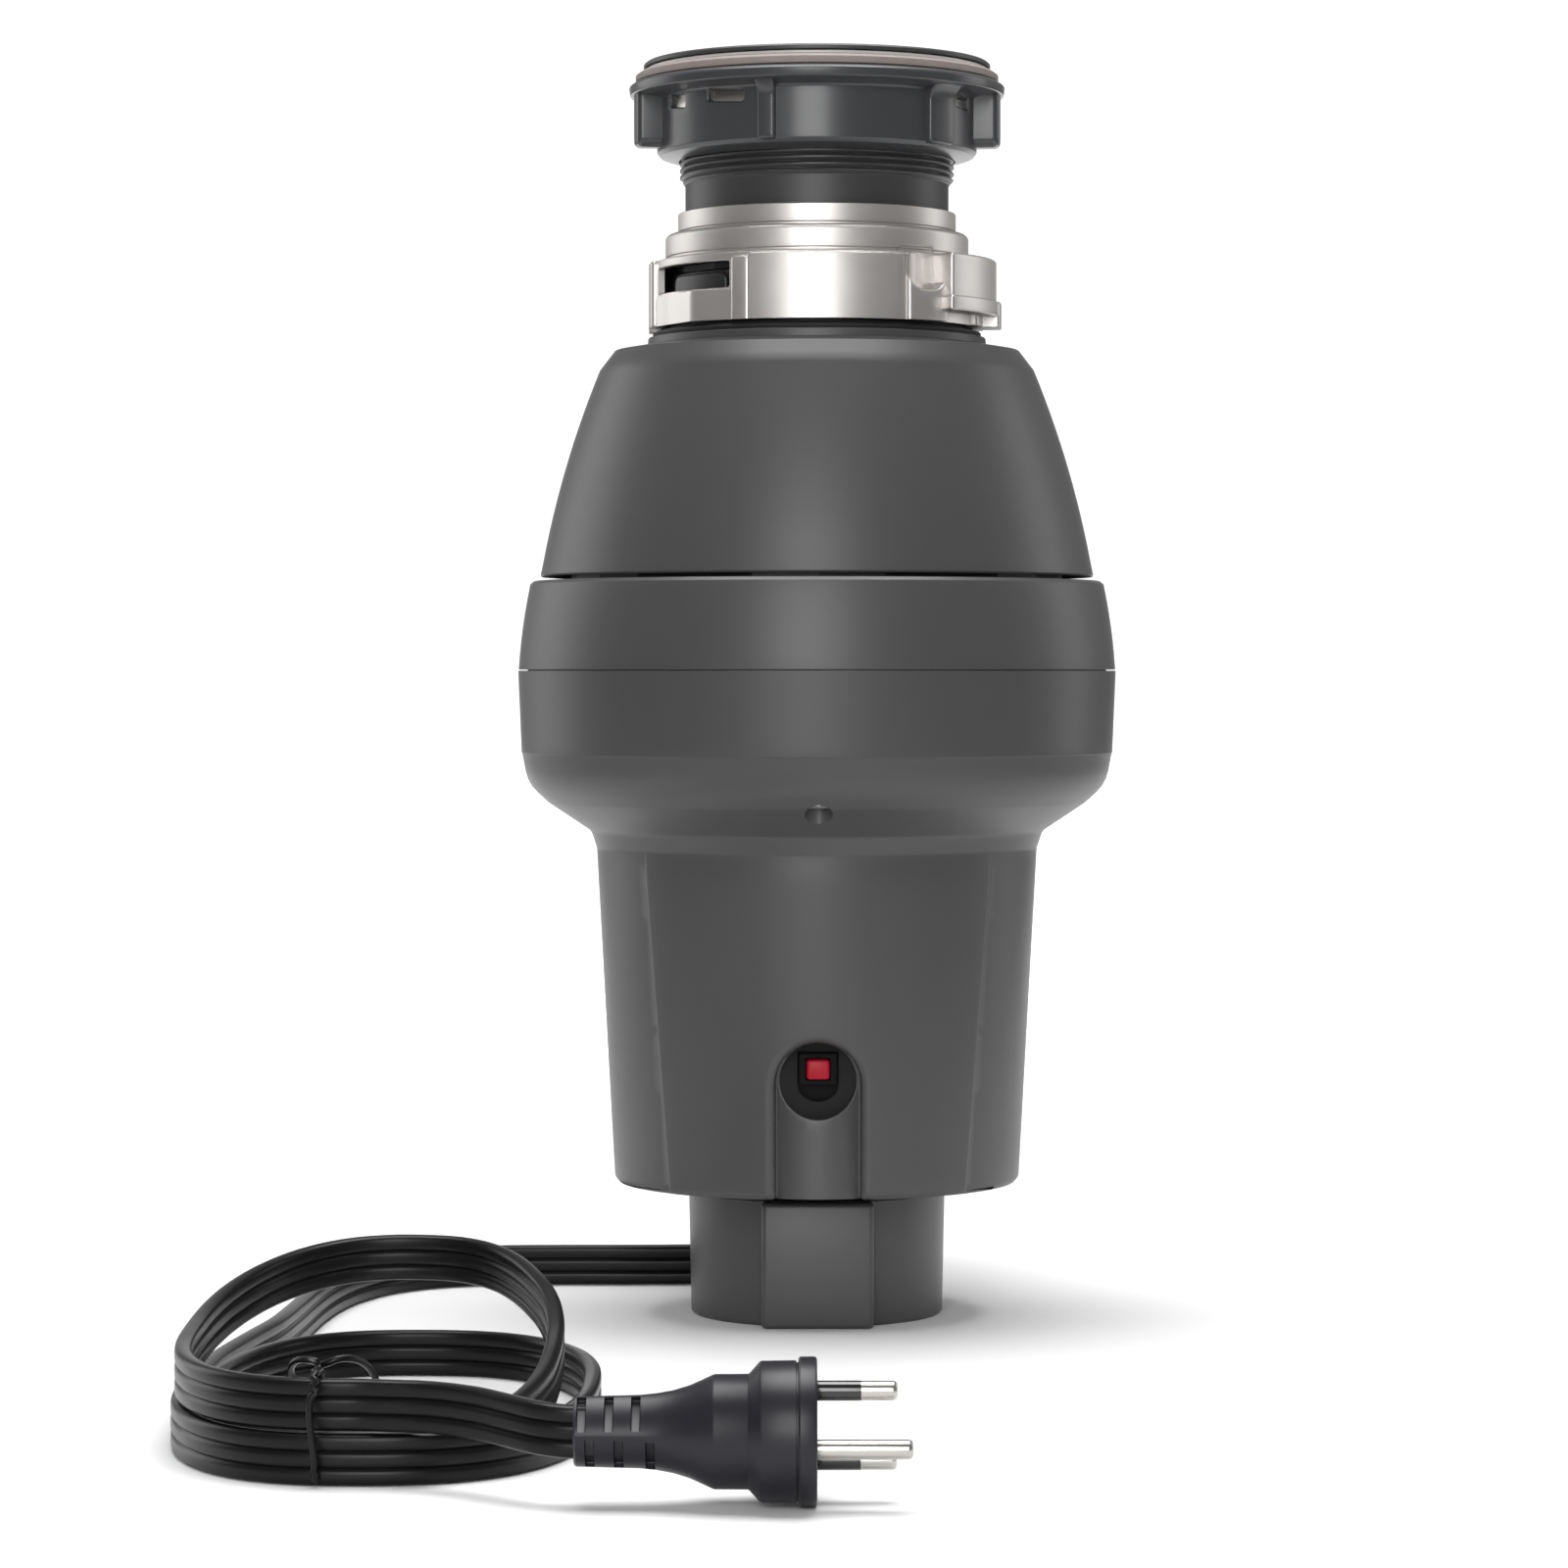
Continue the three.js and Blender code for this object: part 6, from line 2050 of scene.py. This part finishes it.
        channel = self.arch(self.channel_half, self.channel_top, 30)
        liner = self.arch(self.channel_half + 3.0, self.channel_top + 2.4, 30)
        wall.reliefs = [
            Relief(Kind.PAD, crease, fading, 0.5, view=View.FRONT, relative=True),
            Relief(Kind.POCKET, channel, crowned, 2.8, 0.8, View.FRONT),
            Relief(Kind.POCKET, liner, -self.liner_y, 0, view=View.FRONT, inner=True),
            Relief(Kind.POCKET, window, 1.0 - self.liner_y, 0.6, view=View.FRONT),
            Relief(Kind.WINDOW, tuple(opening), soft=0.3, view=View.FRONT),
        ]
        for x, radius in ((0, 20.0), (-27, 3.0), (27, 3.0)):
            hole = round_hole(x, 180, radius)
            wall.reliefs.append(Relief(Kind.WINDOW, hole, soft=0.5, view=View.REAR))
        piece = wall.build()
        joins, cuts = [], []
        shrunk = [(r - 0.6, z + 0.3) for r, z in outer if r > 60 and 100 < z < 200.5]
        for i in range(3):
            x, y = around(self.screw_ring, 120 * i)
            core = turned("core", [(0, 100.3), *shrunk, (0, 200)], HOUSING, steps=96, closed=False)
            stub = [(0, 150), (6.4, 150), (6.4, 178, 0.4), (0, 178)]
            boss = turned("boss", stub, HOUSING, Axis.Z, (x, y, 0), 48, False)
            carve(boss, [core], HOUSING, "INTERSECT")
            joins.append(boss)
            bore = [(0, 140), (4.2, 140), (4.2, 164.9), (2.3, 165.0), (2.3, 190), (0, 190)]
            cuts.append(turned("bore", bore, HOUSING, Axis.Z, (x, y, 0), 48, False))
        carve(piece, joins, HOUSING, "UNION")
        carve(piece, cuts, HOUSING)
        self.paint_recess_shade(settle(piece, "housing", HOUSING, "lower_shell"))

    def paint_recess_shade(self, body: bpy.types.Object) -> None:
        """Paints shade on the sunk disc round the reset button, as a darker, duller copy of the housing's moulding.

        Args:
            body: the lower shell.
        """
        # Painted shade: the disc's faces take a darker copy of the housing's grey, standing in for the recess's shade.
        body.data.materials.append(RECESS_PAINTED_SHADE.material())
        deepest, proudest = -self.liner_y - 0.2, -self.liner_y + 1.1
        for face in body.data.polygons:
            x, y, z = (c / MM for c in face.center)
            if math.hypot(x, z - self.window_z) < self.window_r + 0.05 and deepest < -y < proudest:
                face.material_index = len(body.data.materials) - 1

    def screws(self) -> None:
        """The three case screws, one shape repeated round the axis."""
        x, y = around(self.screw_ring, 0)
        profile = [(0, 160.6), (3.3, 160.6, 0.3), (3.6, 161.1, 0.3), (3.6, 164.6), (2.0, 164.7)]
        profile += [(2.0, 179.0, 0.4), (0, 179.0)]
        head = turned("screw", profile, SCREW_STEEL, Axis.Z, (x, y, 0), 40, False)
        cross = [
            prism("slot", [(-1.9, -0.35), (1.9, -0.35), (1.9, 0.35), (-1.9, 0.35)], 160.0, 161.9, SCREW_STEEL,
                  Matrix.Translation((x, y, 0)) @ Matrix.Rotation(turn, 4, "Z"))
            for turn in (0.0, math.pi / 2)
        ]
        carve(head, cross, SCREW_STEEL)
        piece = Repeat(3).apply(head, SCREW_STEEL)
        piece.name = "case_screws"
        settle(piece, "housing", SCREW_STEEL, "case_screw_1", "case_screw_2", "case_screw_3")

    def boss(self) -> None:
        """The boss at the bottom, with its front rib and the cord's hole."""
        piece = turned(
            "bottom_boss",
            [(0, 0), (38.4, 0, 0.6), (39.4, 1.0, 0.6), (40.2, 38.7, 0.3), (37.6, 38.7), (36.8, 3.0),
             (0, 3.0)],
            HOUSING, closed=False,
        )
        outline = [(-17.2, -44.0), (17.2, -44.0), (17.2, -32.0), (-17.2, -32.0)]
        rib = prism("rib", outline, 0, 38.7, HOUSING, None, 1.6, 4)
        inside = turned("core", [(0, 3.0), (36.8, 3.0), (37.6, 45), (0, 45)], HOUSING, closed=False, steps=96)
        carve(rib, [inside], HOUSING)
        carve(piece, [rib], HOUSING, "UNION")
        heading = Vector((math.cos(radians(130)), math.sin(radians(130)), 0))
        across = heading.cross(Vector((0, 0, 1)))
        turn = Matrix((across, Vector((0, 0, 1)), -heading)).transposed().to_4x4()
        place = Matrix.Translation((11.98, 38.0, 9.6)) @ turn
        slot = rounded([(-5.6, -8.4, 3), (5.6, -8.4, 3), (5.6, 8.4, 3), (-5.6, 8.4, 3)])
        hole = prism("hole", slot, -9, 9, HOUSING, place)
        carve(piece, [hole], HOUSING)
        settle(piece, "housing", HOUSING, "base_cap")


# ------------------------------------------------------------------ the reset switch
class ResetSwitch:
    """The thermal breaker behind its window, with bezel and button."""

    def build(self) -> None:
        """Makes the breaker, the bezel and the button."""
        box = span("reset_breaker")
        body = block("breaker", box.middle, box.size, BEZEL_BLACK, 1.6)
        body.name = "thermal_breaker"
        settle(body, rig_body("reset_breaker"), BEZEL_BLACK, "reset_breaker")
        frame_box = span("reset_bezel")
        bezel = block("bezel", frame_box.middle, frame_box.size, BEZEL_BLACK, 0.5)
        hole = span("reset_button")
        middle = (hole.middle.x, frame_box.middle.y, hole.middle.z)
        cut = block("cut", middle, (hole.size.x + 0.6, 12, hole.size.z + 0.6), BEZEL_BLACK, 0.3)
        carve(bezel, [cut], BEZEL_BLACK)
        bezel.name = "reset_bezel_frame"
        settle(bezel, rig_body("reset_bezel"), BEZEL_BLACK, "reset_bezel")
        button = block("reset_push_button", hole.middle, hole.size, RED, 0.9)
        settle(button, "reset", RED, "reset_button")


# ------------------------------------------------------------------ the water connections
@dataclass
class WaterConnections:
    """The discharge elbow at the rear and the dishwasher spigot at the side."""

    outlet_z: float = 180.0

    def build(self) -> None:
        """Makes the connections."""
        at = (0, 0, self.outlet_z)
        ring = [(16.5, 95.3), (22, 95.3, 0.5), (22, 98.3, 0.5), (16.5, 98.3)]
        gasket = turned("discharge_seal", ring, RUBBER, Axis.Y, at, 96)
        settle(gasket, "housing", RUBBER, "discharge_gasket")
        self.elbow()
        self.plate()
        self.spigot()

    def elbow(self) -> None:
        """The pipe: a lip, a short straight, a bend and a spout that points down."""
        z = self.outlet_z
        line = [(98.6, z, 22.0), (100.8, z, 22.0), (101.2, z, 21.6), (101.3, z, 19.2), (107.6, z, 19.2)]
        spots = [(y, h, r, 0.0) for y, h, r in line]
        for k in range(1, 17):
            a = math.pi / 2 * k / 16
            spots.append((107.6 + 27 * math.sin(a), z - 27 * (1 - math.cos(a)), 19.2, a))
        spots += [(134.6, h, r, math.pi / 2) for h, r in ((129.0, 19.2), (128.2, 18.9), (128, 18.5))]
        inside = [(y, h, 17.0, a) for y, h, _, a in reversed(spots)]
        rings, steps = spots + inside, 72
        points: list[tuple[float, float, float]] = []
        for y, h, r, a in rings:
            for j in range(steps):
                t = 2 * math.pi * j / steps
                up = r * math.cos(t)
                points.append((r * math.sin(t), y + up * math.sin(a), h + up * math.cos(a)))
        piece = make_mesh("discharge_pipe", np.array(points), ring_faces(len(rings), steps), BLACK_MOULDING)
        settle(piece, "housing", BLACK_MOULDING, "discharge_elbow")

    def plate(self) -> None:
        """The clamp plate and its two screws."""
        stand = Matrix.Translation((0, 0, self.outlet_z)) @ Matrix.Rotation(-math.pi / 2, 4, "X")
        ends = [(34, 6.5), (-34, 6.5), (-34, -6.5), (34, -6.5)]
        bar = rounded([(x, y, 6.3) for x, y in ends])
        piece = prism("discharge_clamp", bar, 101.5, 103.5, STEEL, stand, 0.3, 2)
        disc = prism("disc", circle(24, 96), 101.5, 103.5, STEEL, stand, 0.3, 2)
        carve(piece, [disc], STEEL, "UNION")
        hole = prism("hole", circle(20.1, 96), 90, 120, STEEL, stand)
        carve(piece, [hole], STEEL)
        bores = [
            prism("bore", circle(2.6, 32), 90, 120, STEEL, stand @ Matrix.Translation((x, 0, 0)))
            for x in (-27, 27)
        ]
        carve(piece, bores, STEEL)
        settle(piece, "housing", STEEL, "discharge_flange")
        for node in ("discharge_screw_1", "discharge_screw_2"):
            box = span(node)
            x, back, tip = box.middle.x, box.high.y, box.low.y
            profile = [(0, tip), (2.2, tip, 0.5), (2.2, 103.8), (4.4, 103.8, 0.2), (4.4, back - 0.8, 0.6)]
            profile += [(3.4, back, 0.5), (0, back)]
            screw = turned(node + "_visual", profile, STEEL, Axis.Y, (x, 0, self.outlet_z), 40, False)
            slot = [(-3, -0.5), (3, -0.5), (3, 0.5), (-3, 0.5)]
            place = stand @ Matrix.Translation((x, 0, 0))
            drive = prism("drive", slot, back - 1.1, back + 2, STEEL, place)
            carve(screw, [drive], STEEL)
            settle(screw, "housing", STEEL, node)

    def spigot(self) -> None:
        """The dishwasher's hose spigot and its knock-out plug."""
        heading = Vector((-0.574, 0.819, 0)).normalized()
        turn = Vector((0, 0, 1)).rotation_difference(heading).to_matrix().to_4x4()
        place = Matrix.Translation((0, 0, 262)) @ turn
        profile = rounded(
            [
                (8.5, 66.5), (15, 66.5), (15, 68.9, 0.4), (11.1, 68.9, 0.5), (11.1, 88.5, 0.2),
                (11.9, 90.0, 0.3),
                (11.1, 92.5, 0.3), (11.1, 94.5, 0.2), (11.9, 96.0, 0.3), (11.1, 98.5, 0.3),
                (11.0, 103, 0.6), (8.5, 103, 0.4),
            ]
        )
        points, faces = turned_points(profile, 64, True)
        tube_piece = make_mesh("dishwasher_inlet", placed(place, points), faces, BLACK_MOULDING)
        settle(tube_piece, "housing", BLACK_MOULDING, "dishwasher_spigot")
        disc = rounded(
            [(0, 68.5), (8.2, 68.5, 0.3), (8.2, 70.5, 0.3), (6.8, 70.5, 0.2), (6.6, 70.0, 0.2),
             (0, 70.0)], False
        )
        points, faces = turned_points(disc, 48, False)
        plug = make_mesh("dishwasher_knockout_disc", placed(place, points), faces, BLACK_MOULDING)
        settle(plug, "housing", BLACK_MOULDING, "dishwasher_knockout")


# ------------------------------------------------------------------ CAD pieces that stay
KEPT: dict[str, Finish] = {
    "housing_grey": HOUSING,
    "dark_plastic": BLACK_MOULDING,
    "nut_grey": NUT_MOULDING,
    "die_cast": NICKEL,
    "steel": STEEL,
    "dark_steel": OILED,
    "rubber": RUBBER,
    "fibre": FIBRE,
    "button_red": RED,
    "copper": COPPER,
    "board": BOARD_GREEN,
    "carbon": CARBON,
    "cord_black": CORD_VINYL,
    "plug_black": PLUG_VINYL,
}


def dress_kept() -> None:
    """Gives every CAD node a procedural material in place of its flat one."""
    for node in frame["nodes"].values():
        for i, held in enumerate(node.material_slots):
            name = held.material.name if held.material else "dark_plastic"
            finish = next((f for key, f in KEPT.items() if key in name), None)
            if finish is None:
                log.warning("%s has an unknown material %s", node.name, name)
                finish = BLACK_MOULDING
            node.material_slots[i].material = finish.material()


# ------------------------------------------------------------------ studio
@dataclass(frozen=True)
class SoftBox:
    """One rectangular studio light."""

    name: str
    place: tuple[float, float, float]
    target: tuple[float, float, float]
    size: tuple[float, float]
    watts: float

    def light(self) -> bpy.types.Object:
        """Makes the light, aimed at its target."""
        lamp = bpy.data.lights.new(self.name, "AREA")
        lamp.shape = "RECTANGLE"
        lamp.size, lamp.size_y = self.size
        lamp.energy = self.watts
        made = bpy.data.objects.new(self.name, lamp)
        made.location = self.place
        made.rotation_euler = (Vector(self.target) - Vector(self.place)).to_track_quat("-Z", "Y").to_euler()
        bpy.context.scene.collection.objects.link(made)
        return made


@dataclass
class Studio:
    """Camera, lights, world and the pale sweep under the object."""

    eye: tuple[float, float, float] = (-0.0103, -1.538, 0.2016)
    pitch_degrees: float = 1.33
    lens: float = 112.5
    world: float = 0.28
    boxes: tuple[SoftBox, ...] = (
        SoftBox("left_softbox", (-1.35, 0.78, 0.45), (0, 0, 0.2), (1.0, 1.3), 6.5),
        SoftBox("front_softbox", (-0.16, -2.2, 0.72), (0, 0, 0.25), (0.9, 1.3), 23.5),
        SoftBox("right_softbox", (1.45, 0.55, 0.5), (0, 0, 0.2), (0.6, 1.2), 3.6),
        SoftBox("top_softbox", (0.0, 0.05, 1.75), (0, 0, 0), (1.2, 1.2), 36.0),
    )

    def build(self) -> None:
        """Sets the stage."""
        scene = bpy.context.scene
        lens = bpy.data.cameras.new("main_camera")
        lens.lens, lens.sensor_width = self.lens, 36.0
        lens.clip_start, lens.clip_end = 0.05, 30.0
        camera = bpy.data.objects.new("main_camera", lens)
        camera.location = self.eye
        camera.rotation_euler = (radians(90 - self.pitch_degrees), 0, 0)
        scene.collection.objects.link(camera)
        scene.camera = camera
        world = bpy.data.worlds.new("studio_world")
        self.sky(world)
        scene.world = world
        scene.view_settings.view_transform = "Standard"
        scene.view_settings.look = "None"
        lights = [box.light() for box in self.boxes]
        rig.stage(camera, self.sweep(), *lights)

    def sky(self, world: bpy.types.World) -> None:
        """A dim room with a bright white panel far behind the object."""
        board = Board(world, "ShaderNodeOutputWorld")
        way = board.node("ShaderNodeTexCoord", result="Generated")
        split = board.node("ShaderNodeSeparateXYZ", {}, {"Vector": way}, "Y")
        stops = ((0.952, self.world), (0.974, 1.15))
        panel = board.node("ShaderNodeValToRGB", {"stops": stops}, {"Fac": split})
        board.finish(board.node("ShaderNodeBackground", {}, {"Color": panel, "Strength": 1.0}))

    def sweep(self) -> bpy.types.Object:
        """A floor of paper that is pale in a strip under and behind the object and dark grey round it, a painted pool
        of light, and glowing far behind it.
        """
        points = [(-30, -30, 0), (30, -30, 0), (30, 60, 0), (-30, 60, 0)]
        mesh = bpy.data.meshes.new("studio_floor")
        mesh.from_pydata(points, [], [[0, 1, 2, 3]])
        made = bpy.data.objects.new("studio_floor", mesh)
        bpy.context.scene.collection.objects.link(made)
        paper = bpy.data.materials.new("studio_paper")
        board = Board(paper)
        where = board.place()
        x = board.node("ShaderNodeSeparateXYZ", {}, {"Vector": where}, "X")
        y = board.node("ShaderNodeSeparateXYZ", {}, {"Vector": where}, "Y")
        behind = board.node("ShaderNodeMath", {"operation": "MAXIMUM"}, {0: y, 1: 0.0})
        aside = board.node("ShaderNodeMath", {"operation": "ABSOLUTE"}, {0: x})
        share = board.node("ShaderNodeMath", {"operation": "DIVIDE"}, {0: aside, 1: behind * 0.17 + 0.4})
        painted_light_strip = board.node("ShaderNodeMapRange", {"interpolation_type": "SMOOTHSTEP"},
                           {"Value": share, "From Min": 1.0, "From Max": 1.8, "To Min": 1.0, "To Max": 0.0})
        near = board.node("ShaderNodeMapRange", {"interpolation_type": "SMOOTHSTEP"},
                          {"Value": y, "From Min": -1.0, "From Max": -0.5})
        far = board.node("ShaderNodeMapRange", {"interpolation_type": "SMOOTHSTEP"},
                         {"Value": y, "From Min": 0.35, "From Max": 1.5})
        fibre = board.noise(where, 6, 2)
        # Painted light: the paper is pale only in the strip near the object and dark grey elsewhere.
        shade = board.blend(painted_light_strip * near, (0.22, 0.22, 0.22), (0.88, 0.88, 0.88))
        diffuse = board.node(
            "ShaderNodeBsdfPrincipled", {},
            {"Base Color": shade, "Roughness": fibre * 0.1 + 0.85, "Specular IOR Level": 0.1},
        )
        glow = board.blend(painted_light_strip * far, (0, 0, 0), (1, 1, 1))
        light = board.node("ShaderNodeEmission", {}, {"Color": glow, "Strength": 1.0})
        board.finish(board.node("ShaderNodeAddShader", {}, {0: diffuse, 1: light}))
        mesh.materials.append(paper)
        return made


def corners(value: object) -> list[list[float]]:
    """A bounds value as plain lists of numbers.

    Args:
        value: the two corners.

    Returns:
        The corners as lists.
    """
    return [[float(c) for c in corner] for corner in value]


def main() -> None:
    """Builds the part's looks and writes the frame's and the looks' bounds to a file."""
    logging.basicConfig(level=logging.INFO, format="%(name)s: %(message)s")
    cad = corners(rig.bounds())
    dress_kept()
    Studio().build()
    PowerCord().build()
    Casing().build()
    Bayonet().build()
    SinkTube().build()
    ResetSwitch().build()
    WaterConnections().build()
    looks = corners(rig.bounds())
    with open(SIZE_FILE, "w", encoding="utf-8") as out:
        json.dump({"cad": cad, "visual": looks}, out)


if __name__ == "__main__":
    main()
